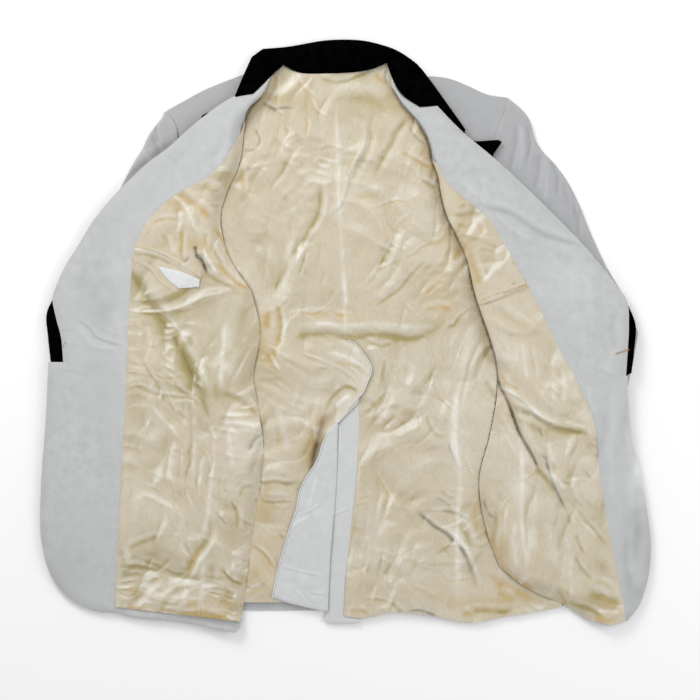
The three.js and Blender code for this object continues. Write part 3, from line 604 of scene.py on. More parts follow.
# %% [markdown]
# ## Where the cloth turns over
# Each front is folded back on itself, and its lining rolls down over the fold towards the back.
# Free edges, such as hems, roll down a little. The lines of the two folds run from the neck to
# the hem.
# %% Folded edges
FOLD_EDGE = {
    "left": [(-115, 328), (-132, 311), (-138, 290), (-141, 265), (-145, 238), (-158, 209),
             (-171, 171), (-166, 128), (-153, 97), (-124, 52), (-117, -10), (-129, -79),
             (-110, -123), (-123, -232), (-133, -312), (-138, -358), (-142, -378)],
    "right": [(62, 342), (79, 312), (109, 277), (115, 247), (125, 220), (130, 192), (141, 155),
              (160, 121), (173, 69), (179, 47), (201, -18), (208, -54), (199, -125), (182, -202),
              (201, -294), (222, -331), (296, -366), (332, -390)],
}
TURN_RADIUS = 4.5  # the lining rolls down over the fold
TURN_FALL = 3.6
SOFT_TURN = {  # from one y to another, the fold has no edge but a slope
    "left": (-460.0, 300.0),
    "right": (-460.0, -30.0),
}
SLOPE_WIDTH = 20.0
SLOPE_END = 4.4  # the height at which the slope meets the back's lining
FOLD_HIDES = 3.0  # the shell stays this far behind the lining's rolled edge
SEAM_DIP = {"radius": 2.0, "fall": 0.14}
LIFT = 2.4  # loose cloth stands this far above its solid
LINING_RISE = 1.3  # from the shell beneath to the lining
edge_trees = {side: tree_of(spline(np.array(FOLD_EDGE[side], dtype=float), 2.0)) for side in SIDES}


def roll(gap, radius, fall):
    """How far a rounded edge has fallen at a distance from the edge."""
    t = 1 - np.clip(gap / radius, 0, 1)
    return fall * (1 - np.sqrt(np.clip(1 - t * t, 0, 1)))


def softly_turned(side, y):
    """1 where the fold is a slope, 0 where it is an edge."""
    low, high = SOFT_TURN[side]
    return ramp(y, low - 20, low + 15) * (1 - ramp(y, high - 22, high + 14))


def turn_down(side, z, turn, y):
    """The cloth at height z, rolled or sloped down where it turns over at a distance turn."""
    slope = ramp(turn, -6, SLOPE_WIDTH)
    sloped = SLOPE_END + np.maximum(z - SLOPE_END, 0) * slope - roll(turn, 3.0, 0.8)
    soft = softly_turned(side, y)
    return (z - roll(turn, TURN_RADIUS, TURN_FALL)) * (1 - soft) + sloped * soft


def fold_gap(side, x, y):
    tree = edge_trees[side]
    return np.array([tree.find((a, b, 0))[2] for a, b in zip(x, y)])


EASE = 1.5  # a height is eased over this as it nears its floor


def kept_above(z, floor):
    """The height z, eased so that it never falls below floor."""
    over = z - floor
    return floor + (over + np.sqrt(over * over + EASE * EASE)) / 2


# %% [markdown]
# ## The table of folds
# Left and right are as seen from above. The back lining is pulled towards both underarms, so that
# strong folds cross it; the fronts have long folds that run towards the hem.
# %% Folds of the back lining
# olive, tan and dark here are painted shade, light is painted highlight
BACK_FOLDS = [
    # below the collar
    ([(-72, 358), (-62, 343), (-52, 333), (-42, 325), (-37, 322)], 4, -1.5, TAN, 0.5),
    ([(-55, 335), (-48, 322), (-43, 310), (-30, 302), (-25, 298)], 3, -1.2, TAN, 0.4),
    ([(-56, 302), (-54, 290), (-57, 275)], 3, -1.2, TAN, 0.5),
    ([(-86, 288), (-80, 282), (-74, 276)], 3, -1, TAN, 0.5),
    ([(-60, 283), (-72, 276), (-80, 273), (-85, 265), (-88, 255), (-84, 245), (-78, 242)],
     4, 2.2, None, 0, 1),
    ([(-79, 242), (-84, 233), (-90, 223), (-96, 216), (-105, 203)], 4, -2.2, OLIVE, 0.7),
    ([(-97, 362), (-98, 345), (-104, 332)], 4, -2, TAN, 0.7),
    ([(-118, 325), (-105, 315), (-98, 312), (-82, 314), (-68, 312)], 3, -2.4, DARK, 0.6),
    ([(-112, 327), (-98, 326), (-84, 330)], 9, -1, OLIVE, 0.6),
    ([(-100, 312), (-92, 306), (-86, 301)], 3, -1.2, OLIVE, 0.5),
    ([(-126, 284), (-120, 276), (-119, 266), (-125, 258)], 2.5, -1.6, DARK, 0.45),
    ([(-141, 256), (-132, 255), (-124, 258)], 2.5, -1.4, DARK, 0.45),
    ([(-141, 229), (-125, 231), (-110, 235), (-98, 238)], 3, 1.5, OLIVE, 0.25, -1),
    ([(-147, 238), (-144, 220), (-142, 198)], 5, -1.6, TAN, 0.6),
    ([(-22, 322), (0, 326), (25, 326), (52, 318)], 15, -1.5, OLIVE, 0.42),
    ([(-40, 357), (-20, 349), (0, 350), (15, 357), (40, 366)], 4, -2, OLIVE, 0.75),
    ([(40, 362), (47, 352), (54, 344)], 8, -0.8, TAN, 0.75),
    ([(55, 368), (54, 354), (58, 344)], 2.5, -2, DARK, 0.6),
    ([(-15, 300), (-10, 275), (-8, 250), (-9, 215), (-12, 180), (-14, 150)], 5, 2.2),
    ([(25, 300), (26, 270), (22, 255), (12, 240), (5, 225), (0, 205), (-3, 193), (-10, 178),
      (-22, 168), (-28, 158)], 6, 4, LIGHT, 0.25, 1),
    ([(32, 292), (33, 268), (27, 250), (17, 234), (9, 216), (4, 200)], 5, -2.8, OLIVE, 0.45),
    ([(20, 262), (10, 245), (2, 215)], 2.5, -1.2, TAN, 0.4),
    ([(-36, 214), (-36, 190), (-38, 172), (-45, 155), (-58, 138)], 6, -3.6, OLIVE, 0.85),
    ([(-50, 145), (-62, 128), (-78, 108), (-85, 90), (-95, 70), (-98, 56)],
     6, -3.4, OLIVE, 0.7),
    ([(-28, 205), (-27, 180), (-33, 160), (-48, 140), (-60, 118)], 5, 2),
    ([(30, 172), (45, 177), (60, 183), (74, 186)], 3, -1.5, TAN, 0.3),
    ([(10, 188), (28, 192), (50, 194)], 9, -1, TAN, 0.3),
    # beside the right fold edge
    ([(86, 290), (92, 278), (100, 270), (112, 262)], 2.5, -2, DARK, 0.4),
    ([(88, 302), (97, 291), (105, 280), (113, 270)], 2.5, -1.8, TAN, 0.5),
    ([(85, 304), (78, 292), (68, 278), (63, 265), (52, 248), (45, 235), (37, 220)],
     6, -3.8, OLIVE, 0.8),
    ([(77, 306), (69, 292), (60, 279), (55, 265), (44, 250), (36, 236)], 4, 2),
    ([(75, 255), (85, 248), (98, 240), (108, 235), (118, 230)], 4, -2.2, TAN, 0.75),
    ([(103, 215), (112, 210), (120, 205), (128, 202)], 4, -1.8, OLIVE, 0.6),
    ([(110, 130), (125, 128), (135, 135), (142, 142)], 5, -1.6, TAN, 0.55),
    ([(80, 107), (95, 113), (103, 122), (121, 127)], 2.5, -1.2, OLIVE, 0.35),
    ([(60, 182), (70, 186), (86, 183)], 2.5, -1.2, TAN, 0.4),
    ([(72, 150), (80, 160), (90, 166)], 3, -1, TAN, 0.35),
    ([(72, 157), (66, 135), (58, 115), (50, 95), (44, 86)], 5, -1.8, OLIVE, 0.35),
    ([(80, 150), (74, 130), (67, 112), (60, 96)], 4, 1.6),
    ([(165, 102), (155, 91), (149, 83)], 3.5, -1.4, OLIVE, 0.6),
    ([(160, 121), (150, 112), (138, 104)], 7, -1.2, TAN, 0.5),
    # across the waist
    ([(22, 64), (38, 80), (45, 92), (52, 105), (62, 122), (72, 141)], 4, -1.8, OLIVE, 0.3),
    ([(45, 90), (60, 97), (69, 104)], 3, -1.2, OLIVE, 0.3),
    ([(38, 41), (50, 48), (60, 55), (72, 63), (80, 72), (88, 82), (100, 95), (113, 106)],
     4, -2.6, OLIVE, 0.75),
    ([(33, 48), (46, 56), (58, 65), (70, 76), (80, 88)], 3.5, 1.6),
    ([(-76, -6), (-60, 0), (-45, 2), (-25, 3), (-5, 0), (20, 0), (40, 2), (60, 0), (80, -3),
      (100, -2), (112, 3), (122, 10), (131, 18), (139, 24)], 9, -3.8, OLIVE, 1),
    ([(24, -7), (38, -11), (50, -14), (64, -9)], 4, -1.5, OLIVE, 0.4),
    ([(-74, 14), (-50, 17), (-20, 17), (10, 15), (40, 18), (70, 15), (100, 13), (118, 20)],
     9, 1.2, LIGHT, 0.25),
    ([(138, 14), (148, 14), (153, 22), (160, 30), (174, 39)], 3, -1.8, OLIVE, 0.5),
    ([(74, 50), (82, 40), (92, 30), (101, 22)], 3, -1, TAN, 0.35),
    ([(105, 32), (118, 38), (130, 40), (146, 36)], 6, -1.2, TAN, 0.55),
    ([(132, 77), (120, 68), (109, 57)], 2.5, -1.2, TAN, 0.35),
    ([(-98, 54), (-95, 42), (-92, 30), (-90, 10), (-93, -5), (-100, -20), (-97, -35), (-92, -44)],
     5, -3.8, TAN, 0.9),
    ([(-92, 34), (-90, 14), (-94, -8)], 4, -0.6, OLIVE, 0.6),
    ([(-106, 38), (-109, 22), (-108, 8)], 7, -0.8, TAN, 0.6),
    ([(-90, -2), (-80, 18), (-68, 30), (-60, 38)], 4, 2.2, LIGHT, 0.2),
    ([(-108, -22), (-103, -38), (-94, -49)], 3.5, -1.4, TAN, 0.5),
    ([(-100, -27), (-92, -46)], 2.5, 1.4, LIGHT, 0.3),
    ([(-80, 28), (-60, 33), (-45, 30), (-25, 40), (-9, 51)], 2.5, -1.2, TAN, 0.3),
    ([(-62, 30), (-40, 31), (-20, 30)], 6, -0.8, TAN, 0.35),
    ([(-16, 30), (0, 27)], 5, -0.5, TAN, 0.6),
    ([(-55, 121), (-60, 100), (-67, 79)], 2.5, -1.2, OLIVE, 0.3),
    ([(-30, 89), (-35, 69)], 2.5, -1, OLIVE, 0.3),
    ([(-20, -35), (0, -38), (20, -45), (30, -51)], 4, -1, TAN, 0.35),
    ([(-2, 92), (-1, 66), (1, 40)], 4, 0.6, LIGHT, 0.35),
    # the left back lining beside the vent
    ([(-142, -200), (-130, -205), (-120, -203), (-95, -200), (-80, -203), (-63, -198)],
     5, -2.4, OLIVE, 0.55, 1),
    ([(-112, -216), (-90, -216), (-74, -219)], 4, 1.6, LIGHT, 0.15),
    ([(-119, -223), (-110, -227), (-100, -228), (-85, -227), (-69, -228)], 2.5, -2, OLIVE, 0.9),
    ([(-102, -231), (-90, -238), (-73, -234)], 3, -1.2, TAN, 0.5),
    ([(-108, -262), (-95, -263), (-80, -263)], 2.5, 1.2),
    ([(-92, -272), (-84, -278)], 4, -0.8, OLIVE, 0.6),
    ([(-130, -286), (-118, -295), (-112, -300), (-105, -310), (-99, -320)], 4, -2.6, TAN, 0.7, 1),
    ([(-97, -303), (-94, -322)], 6, -0.8, OLIVE, 0.6),
    ([(-138, -342), (-130, -346), (-120, -344), (-111, -338)], 2.5, -1.4, DARK, 0.4),
    ([(-136, -357), (-125, -350), (-112, -347)], 5, -1, TAN, 0.5),
    ([(-118, -170), (-118, -200), (-119, -222)], 2.5, -2, DARK, 0.5),
    ([(-105, -90), (-95, -130), (-88, -165)], 8, -1.2, TAN, 0.25),
    ([(-60, -60), (-72, -95), (-66, -130)], 5, 1.4),
    ([(-40, -75), (-50, -110), (-45, -150)], 4, -1.2, TAN, 0.3),
    ([(-28, -118), (-36, -140), (-44, -160), (-49, -183)], 5, -2.5, TAN, 0.8),
    ([(-29, -107), (-24, -92), (-15, -80), (-1, -69), (12, -73), (16, -80)], 4, -2.6, OLIVE, 1.4),
    ([(-14, -98), (-4, -86), (8, -80)], 6, 1.8, LIGHT, 0.6),
    ([(-26, -22), (-6, -26), (12, -34), (26, -46)], 6, 1.2, LIGHT, 0.4),
    ([(-34, -126), (-46, -120), (-60, -112)], 3, -1.2, TAN, 0.35),
    # the right half down to the hem
    ([(42, -91), (50, -82), (58, -75)], 2.5, -1, OLIVE, 0.35),
    ([(120, -76), (135, -92), (150, -105), (161, -114)], 2.5, -1.2, TAN, 0.35),
    ([(109, -104), (113, -120), (118, -130), (125, -137), (141, -138)], 4, -1.6, OLIVE, 0.35),
    ([(140, -145), (145, -160), (150, -172), (158, -188)], 3, -2, DARK, 0.35),
    ([(160, -164), (167, -180), (173, -194)], 2.5, -1.2, TAN, 0.3),
    ([(38, -186), (50, -205), (60, -222), (67, -237)], 3, -1.4, TAN, 0.3, -1),
    ([(130, -211), (140, -220), (151, -223)], 2.5, -1.4, OLIVE, 0.4),
    ([(122, -221), (133, -226), (140, -231), (151, -232)], 2.5, -1.4, DARK, 0.3),
    ([(112, -239), (135, -240), (150, -243), (160, -248), (169, -254)], 3, -1.8, DARK, 0.35),
    ([(138, -234), (144, -240), (150, -246)], 6, -0.8, OLIVE, 0.5),
    ([(96, -237), (105, -247), (113, -254), (118, -259), (127, -265), (136, -270), (145, -279),
      (153, -287), (160, -295), (164, -302), (169, -314), (174, -326), (179, -339)],
     5, -3.6, DARK, 0.6, 1),
    ([(138, -262), (148, -272), (157, -282), (166, -294), (174, -310)], 5, 3, LIGHT, 0.3, -1),
    ([(150, -250), (158, -262), (166, -276), (172, -292)], 8, -2, OLIVE, 0.6),
    ([(168, -318), (175, -334), (180, -346)], 6, -1.6, OLIVE, 0.6),
    ([(124, -320), (133, -328), (140, -336), (155, -335), (178, -334)], 2.5, -1.4, TAN, 0.4),
    ([(190, -60), (200, -75), (206, -88)], 6, -1, OLIVE, 0.4),
    ([(186, 22), (190, -10), (196, -40)], 9, -1.2, OLIVE, 0.35),
    ([(184, -206), (185, -222), (187, -240), (188, -256), (193, -272), (199, -284)],
     5, -3, OLIVE, 0.95),
    ([(178, -224), (176, -248), (180, -270)], 9, -1, TAN, 0.45),
    ([(192, -322), (212, -342), (240, -354), (262, -364)], 12, -1.6, TAN, 0.7),
    ([(208, -352), (232, -364)], 8, -0.6, TAN, 0.5),
    ([(158, -384), (172, -378), (190, -377), (215, -379), (232, -377)], 7, -1.6, OLIVE, 0.7),
    ([(160, -380), (175, -384)], 6, -0.4, TAN, 0.7),
    ([(2, -379), (14, -377), (30, -379)], 5, -1.2, TAN, 0.7),
    ([(20, -362), (45, -362), (60, -366), (72, -372)], 3, -1.4, OLIVE, 0.4),
    ([(62, -364), (68, -372), (78, -380)], 5, -1.2, OLIVE, 0.6),
    ([(84, -378), (100, -376), (116, -381), (130, -387)], 3, -1.6, DARK, 0.5),
    ([(10, -235), (20, -231), (29, -229)], 2.5, -1, TAN, 0.45),
    ([(16, -184), (28, -177)], 2.5, -0.8, TAN, 0.3),
    ([(15, -223), (36, -219)], 2.5, -0.8, TAN, 0.3),
    ([(58, -266), (71, -262)], 3, -0.9, TAN, 0.35),
    ([(10, -264), (24, -268)], 5, -0.8, TAN, 0.45),
    ([(74, -303), (82, -298), (88, -290)], 3, -1, TAN, 0.35),
    ([(8, -316), (20, -322), (24, -330)], 3, -1, TAN, 0.35),
    ([(90, -345), (110, -352), (126, -362)], 4, -1.2, TAN, 0.3),
]

VENT_MOUTH = [(-30, -104), (-33, -120), (-38, -134), (-41, -148), (-44, -162), (-47, -176),
              (-49, -188)]
# painted shade in the mouth of the vent: tan, and dark along its middle
BACK_FOLDS += [
    (VENT_MOUTH, 14, -1.8, TAN, 1.9),
    (VENT_MOUTH, 9, 0, DARK, 0.75),
]

# %% [markdown]
# The side seam and the centre seam of the lining are pressed open, and show as pale stripes.
# %% Seams of the linings
BACK_SEAMS = [
    ([(172, 6), (165, -30), (158, -60), (151, -87), (146, -142), (156, -190), (153, -260), (153, -388)],
     9, 0.6, LIGHT, 0.34),
    ([(152, -80), (151, -110), (150, -150), (157, -182)], 8, 0.6, LIGHT, 0.34),
    ([(-13, 340), (-12, 240), (-6, 120), (-2, 40), (0, -20)], 6, 0.3, LIGHT, 0.24),
]

# %% [markdown]
# Each front's lining has its own folds, because the two are turned over differently. The valley
# across the left chest is one line in three rows: a broad trough and two tints of painted shade along
# its bottom.
# %% Folds of the fronts' linings
CHEST_VALLEY = [(-304, 104), (-293, 87), (-284, 72), (-275, 58), (-266, 43), (-257, 28),
                (-247, 13), (-237, -1), (-228, -15), (-220, -31), (-213, -48), (-205, -64),
                (-198, -80), (-192, -98), (-186, -112)]
LEFT_FOLDS = [
    # round the underarm and its opened seam
    ([(-232, 197), (-215, 185), (-200, 175), (-184, 159)], 8, -3, TAN, 0.65),
    ([(-240, 195), (-222, 181), (-212, 165), (-207, 150), (-199, 137)], 5, 2.6, LIGHT, 0.3, 1),
    ([(-196, 207), (-184, 200), (-170, 196)], 9, -1.2, OLIVE, 0.6),
    ([(-180, 192), (-166, 203)], 3, 1.4, LIGHT, 0.3),
    ([(-191, 177), (-170, 180), (-159, 183)], 3, -1.4, TAN, 0.5),
    ([(-266, 154), (-245, 160), (-224, 158)], 4, -1.8, TAN, 0.45),
    ([(-251, 141), (-245, 128), (-242, 115), (-229, 104)], 5, -2, TAN, 0.55),
    ([(-224, 150), (-225, 125), (-225, 108), (-221, 97)], 4, -2.4, TAN, 0.95),
    ([(-214, 109), (-222, 100), (-229, 96)], 2.5, -1.6, DARK, 0.7),
    ([(-206, 124), (-205, 115), (-203, 106)], 2.4, -4, DARK, 1.7),
    ([(-205, 112), (-196, 103), (-193, 95), (-190, 86)], 2.6, -4, DARK, 1.8),
    ([(-199, 112), (-196, 100)], 4.5, -2, TAN, 1),
    ([(-182, 154), (-178, 145), (-170, 135), (-163, 120), (-158, 108), (-150, 98), (-144, 87)],
     3.5, -2.6, TAN, 1.5),
    ([(-190, 141), (-193, 130), (-189, 121)], 3, -1.4, TAN, 0.6),
    ([(-177, 100), (-165, 88), (-155, 78), (-145, 70), (-133, 64)], 5, -2.8, TAN, 1),
    ([(-197, 90), (-180, 78), (-165, 70), (-149, 65)], 5, -2.2, OLIVE, 0.7),
    ([(-196, 120), (-185, 100), (-174, 83)], 4, 2.2, LIGHT, 0.5),
    ([(-186, 128), (-177, 110), (-166, 94)], 4, -1.4, OLIVE, 0.4),
    ([(-297, 120), (-268, 117), (-240, 108)], 2.5, 1.2, LIGHT, 0.5),
    ([(-296, 113), (-268, 110), (-243, 101), (-218, 88)], 3, -1.6, OLIVE, 0.8),
    # across the chest to the fold edge
    (CHEST_VALLEY, 12, -5, OLIVE, 0.6),
    (CHEST_VALLEY, 7, 0, OLIVE, 1.1),
    (CHEST_VALLEY, 4, 0, DARK, 0.3),
    ([(-242, 35), (-225, 33), (-203, 39)], 3, -1.4, TAN, 0.25),
    ([(-262, 34), (-250, 26), (-238, 14), (-228, 0), (-222, -14)], 3, -1.6, TAN, 0.5),
    ([(-216, 2), (-211, -16)], 6, -0.8, OLIVE, 0.6),
    ([(-170, -77), (-150, -85), (-135, -95), (-119, -111)], 7, -2.4, OLIVE, 0.65),
    ([(-279, -33), (-268, -52), (-258, -68), (-250, -85), (-239, -99)], 3, -1.8, OLIVE, 0.5),
    ([(-261, -58), (-250, -75), (-243, -88), (-234, -105)], 3, -1.6, OLIVE, 0.5),
    ([(-290, -66), (-270, -76), (-255, -80), (-235, -83), (-220, -85), (-203, -92)],
     3.5, -2, OLIVE, 0.5),
    ([(-241, -64), (-225, -75), (-199, -96)], 4, -1.8, OLIVE, 0.55),
    ([(-270, -91), (-258, -105), (-245, -118), (-235, -130), (-224, -146)], 3.5, 1.8, LIGHT, 0.3),
    ([(-238, -90), (-215, -87), (-204, -93)], 3, 1.4, LIGHT, 0.3),
    ([(-255, -20), (-250, -30), (-241, -38)], 2.5, -1.2, TAN, 0.4),
    ([(-256, -58), (-235, -57), (-219, -52)], 2.5, -1.2, TAN, 0.35),
    ([(-186, -122), (-180, -134), (-176, -143)], 5, 1.4, LIGHT, 0.5),
    ([(-158, -118), (-135, -120), (-114, -124)], 8, 2.6, LIGHT, 0.5),
    ([(-109, -131), (-122, -138), (-128, -145), (-133, -157)], 3.5, -2.2, DARK, 0.5),
    ([(-182, -139), (-180, -165), (-184, -197)], 2.5, 1, LIGHT, 0.3),
    ([(-196, -154), (-190, -170), (-184, -192)], 3, -1.2, TAN, 0.3),
    ([(-114, -144), (-120, -170), (-128, -196)], 5, 1.2, LIGHT, 0.3),
    ([(-298, -17), (-279, -18)], 3, 1.2, LIGHT, 0.3),
    ([(-116, -28), (-125, -40), (-130, -55), (-127, -77)], 6, -1.6, OLIVE, 0.4),
    ([(-97, -54), (-110, -57), (-125, -63), (-141, -71)], 2.5, -1.2, TAN, 0.4),
    ([(-280, 20), (-276, -10), (-284, -40)], 6, -1, TAN, 0.2),
    # the long folds near the hem
    ([(-188, -246), (-186, -268), (-193, -282), (-201, -293), (-207, -303), (-213, -314),
      (-219, -324), (-226, -333), (-237, -341)], 6, -3.6, OLIVE, 0.75),
    ([(-198, -286), (-206, -302), (-214, -320), (-220, -330)], 5, -0.8, TAN, 1),
    ([(-180, -277), (-188, -293), (-198, -304), (-207, -312)], 5, 2.8, LIGHT, 0.3),
    ([(-242, -339), (-230, -335), (-222, -328), (-216, -319)], 3.5, 2.2, LIGHT, 0.2),
    ([(-227, -342), (-238, -355), (-246, -365), (-254, -373)], 4, -2.6, OLIVE, 0.8, 1),
    ([(-230, -346), (-228, -358), (-236, -368)], 7, -0.8, OLIVE, 0.45),
    ([(-226, -343), (-220, -352), (-215, -361)], 2.5, -1.2, TAN, 0.4),
    ([(-241, -303), (-250, -313), (-260, -320), (-269, -324)], 3, -1.8, OLIVE, 0.7),
    ([(-250, -320), (-262, -332), (-272, -342), (-280, -352), (-290, -362), (-302, -369)],
     6, -3.6, OLIVE, 0.95),
    ([(-281, -351), (-290, -357), (-302, -359), (-312, -354)], 4, 2.2, LIGHT, 0.15),
    ([(-300, -292), (-285, -285), (-270, -278), (-258, -275), (-247, -275)], 6, -1.8, OLIVE, 0.6),
    ([(-311, -312), (-300, -318), (-285, -316), (-276, -320)], 8, -1.6, OLIVE, 0.75),
    ([(-309, -324), (-296, -323)], 4, -0.8, DARK, 0.35),
    ([(-309, -292), (-307, -304), (-300, -310)], 8, -0.8, OLIVE, 0.5),
    ([(-262, -350), (-250, -347), (-238, -344)], 6, -1.2, OLIVE, 0.65),
    ([(-267, -303), (-274, -317)], 2.5, -1.2, OLIVE, 0.5),
    ([(-313, -350), (-300, -356), (-285, -354)], 2.5, -1.2, OLIVE, 0.4),
    ([(-169, -249), (-162, -243)], 5, -0.8, OLIVE, 0.5),
    ([(-153, -230), (-149, -245), (-150, -264)], 4.5, -1.6, OLIVE, 0.6),
    ([(-179, -238), (-170, -250), (-161, -258)], 2.5, -1.4, DARK, 0.35),
    ([(-157, -226), (-150, -238)], 2.5, -1.2, DARK, 0.35),
    ([(-147, -249), (-135, -256), (-129, -259)], 2.5, -1.4, DARK, 0.35),
    ([(-146, -222), (-140, -207), (-126, -205)], 4, -1.6, OLIVE, 0.5),
    ([(-170, -317), (-165, -325), (-160, -331), (-150, -337), (-141, -341)], 3.5, -2.6, OLIVE, 0.9, 1),
    ([(-168, -319), (-166, -326)], 4, -0.4, TAN, 0.9),
    ([(-184, -310), (-184, -334)], 6, -0.8, OLIVE, 0.5),
    ([(-168, -344), (-158, -353)], 5, -0.8, OLIVE, 0.5),
    ([(-142, -306), (-134, -309), (-128, -299)], 2.5, -1.2, TAN, 0.4),
    ([(-143, -321), (-132, -312)], 2.5, -1.2, TAN, 0.4),
    ([(-142, -276), (-133, -273), (-128, -266)], 2.5, -1.2, TAN, 0.4),
    ([(-136, -296), (-128, -289)], 2.5, -1.4, TAN, 0.5),
    ([(-124, -222), (-120, -235)], 3.5, -2.2, DARK, 0.6),
    ([(-302, -371), (-280, -374), (-255, -376)], 6, -0.8, TAN, 0.8),
    ([(-210, -377), (-180, -383), (-155, -386)], 9, -0.6, TAN, 0.55),
    ([(-240, -252), (-234, -262), (-228, -272)], 2.5, -1.2, TAN, 0.3),
    ([(-242, -272), (-228, -275)], 2.5, -1.2, TAN, 0.3),
    ([(-218, -276), (-196, -277)], 2.5, 1, LIGHT, 0.3),
    ([(-227, -282), (-222, -294), (-212, -301)], 3, 1.2, LIGHT, 0.2),
    ([(-220, -282), (-214, -297)], 3, -1.4, OLIVE, 0.4),
    ([(-224, -308), (-218, -317)], 3, 1.2, LIGHT, 0.2),
    ([(-277, -203), (-265, -208), (-255, -214)], 2.5, -1, TAN, 0.25),
    ([(-222, -205), (-218, -222), (-212, -236)], 2.5, -1, TAN, 0.25),
    ([(-206, -190), (-203, -222)], 2.5, -0.9, TAN, 0.2),
]
LEFT_SEAMS = [
    ([(-165, 22), (-170, -40), (-172, -72)], 9, 0.5, LIGHT, 0.32),
    ([(-161, -118), (-155, -182)], 8, 0.5, LIGHT, 0.3),
    ([(-183, -192), (-187, -220), (-190, -248), (-194, -262), (-199, -276)], 7, 0.7, LIGHT, 0.4),
    ([(-195, -298), (-196, -330), (-200, -382)], 8, 0.5, LIGHT, 0.3),
]
RIGHT_FOLDS = [
    ([(146, 163), (162, 166), (180, 169)], 6, -1.8, OLIVE, 0.65),
    ([(148, 176), (165, 184), (182, 178)], 4, 1.6),
    ([(176, 176), (195, 165), (205, 150), (216, 140)], 4, 1.6, LIGHT, 0.25),
    ([(175, 160), (182, 150), (186, 138)], 5, -1.2, TAN, 0.35),
    ([(168, 118), (172, 100), (178, 85), (184, 68)], 8, -1.6, TAN, 0.55),
    ([(190, 92), (196, 82)], 4, -1, OLIVE, 0.3),
    ([(178, 132), (192, 132), (206, 128)], 3, -1, TAN, 0.3),
    ([(202, 42), (215, 30), (240, 14), (252, 4)], 10, -1.8, TAN, 0.35),
    ([(240, -8), (243, -30), (248, -62)], 4, 1.8, LIGHT, 0.45),
    ([(234, -14), (232, -36)], 4, 1.4, LIGHT, 0.35),
    ([(204, 0), (213, -10), (221, -27)], 2.5, -1.4, TAN, 0.35),
    ([(250, -5), (253, -30), (258, -55)], 4, -1, TAN, 0.2),
    ([(212, -52), (222, -66), (236, -73)], 4, -1.8, TAN, 0.9),
    ([(290, -40), (292, -70), (290, -95)], 5, -1, TAN, 0.3),
    ([(284, -62), (282, -88)], 4, 1, LIGHT, 0.2),
    ([(207, -66), (225, -77), (240, -86), (250, -95), (262, -107), (275, -115), (292, -117)],
     5, 4, LIGHT, 0.45, -1),
    ([(221, -90), (238, -102), (255, -110), (268, -118), (280, -124), (295, -129), (315, -131),
      (336, -134)], 8, -5, OLIVE, 0.95, 1),
    ([(232, -112), (252, -122), (276, -134)], 8, -1, OLIVE, 0.35),
    ([(264, -126), (268, -137)], 2.5, -1.4, DARK, 0.35),
    ([(277, -143), (279, -160), (284, -172)], 7, 1.8, LIGHT, 0.45),
    ([(258, -180), (270, -191), (279, -203), (286, -214)], 6, -3.4, OLIVE, 1),
    ([(263, -162), (273, -166), (275, -178), (279, -191), (284, -204), (290, -217), (297, -231),
      (304, -242)], 3, -3, DARK, 0.7),
    ([(281, -186), (292, -200), (301, -213)], 5, 2.8, LIGHT, 0.4),
    ([(292, -196), (305, -202), (316, -198), (331, -199)], 3.5, -1.4, OLIVE, 0.5),
    ([(326, -184), (336, -196)], 2.5, -1.4, DARK, 0.35),
    ([(306, -206), (312, -222), (322, -236)], 4, -1.2, OLIVE, 0.4),
    ([(308, -226), (318, -240), (330, -252)], 3, -1.4, OLIVE, 0.4),
    ([(304, -242), (306, -258)], 4, -1.2, OLIVE, 0.4),
    ([(323, -250), (335, -260), (345, -272), (356, -286)], 3.5, -2.2, OLIVE, 0.75),
    ([(318, -251), (332, -263), (342, -275)], 3, 1.2, LIGHT, 0.25),
    ([(314, -270), (320, -288), (326, -298)], 4, -1.8, OLIVE, 0.6),
    ([(311, -300), (320, -315), (328, -325), (337, -333)], 4, -2.2, OLIVE, 0.7),
    ([(289, -346), (297, -358), (303, -371)], 3.5, -1.8, OLIVE, 0.6),
    ([(298, -362), (315, -368), (330, -373), (345, -380), (354, -389)], 5, -2.8, OLIVE, 0.85),
    ([(330, -352), (350, -358), (368, -366), (374, -384)], 11, -1.2, OLIVE, 0.5),
    ([(340, -384), (356, -390), (372, -388)], 8, -0.6, TAN, 0.75),
    ([(340, -335), (356, -342), (368, -352)], 7, -0.8, TAN, 0.4),
    ([(346, -352), (358, -358)], 4, -1, OLIVE, 0.35),
    ([(205, -300), (215, -316), (228, -331), (246, -342), (262, -350)], 7, -1.6, TAN, 1),
    ([(203, -238), (205, -258), (201, -276), (203, -296)], 5, -2.2, OLIVE, 0.8),
    ([(188, -222), (193, -238), (202, -250)], 3, -1.6, DARK, 0.5),
    ([(214, -239), (222, -225), (229, -219)], 2.5, -1.2, TAN, 0.3),
    ([(241, -201), (250, -193), (259, -186)], 2.5, -1.4, TAN, 0.45),
    ([(205, -104), (214, -122), (224, -140)], 5, -1.2, TAN, 0.3),
    ([(212, -120), (222, -142), (232, -160)], 4, 1.2, LIGHT, 0.25),
    ([(262, -250), (266, -290), (274, -330)], 14, -1.6, TAN, 0.25),
    ([(290, -262), (288, -300), (284, -335)], 12, -1.4, OLIVE, 0.22),
    ([(232, -250), (228, -285), (238, -320)], 10, 1.4, LIGHT, 0.2),
]
RIGHT_SEAMS = [
    ([(236, -138), (240, -170), (241, -200), (240, -250), (244, -290), (246, -322)],
     8, 0.7, LIGHT, 0.36),
]
VALLEY = [(203, -28), (206, -45), (209, -61), (216, -78), (224, -96), (231, -116), (238, -134),
          (247, -150), (256, -166), (263, -182)]
# a thin line of painted shadow along the valley's bottom, in a broad tan painted shade
RIGHT_VALLEY = [
    (VALLEY, 1.8, -7, DARK, 2.2),
    (VALLEY, 9, -3.5, TAN, 0.5),
]

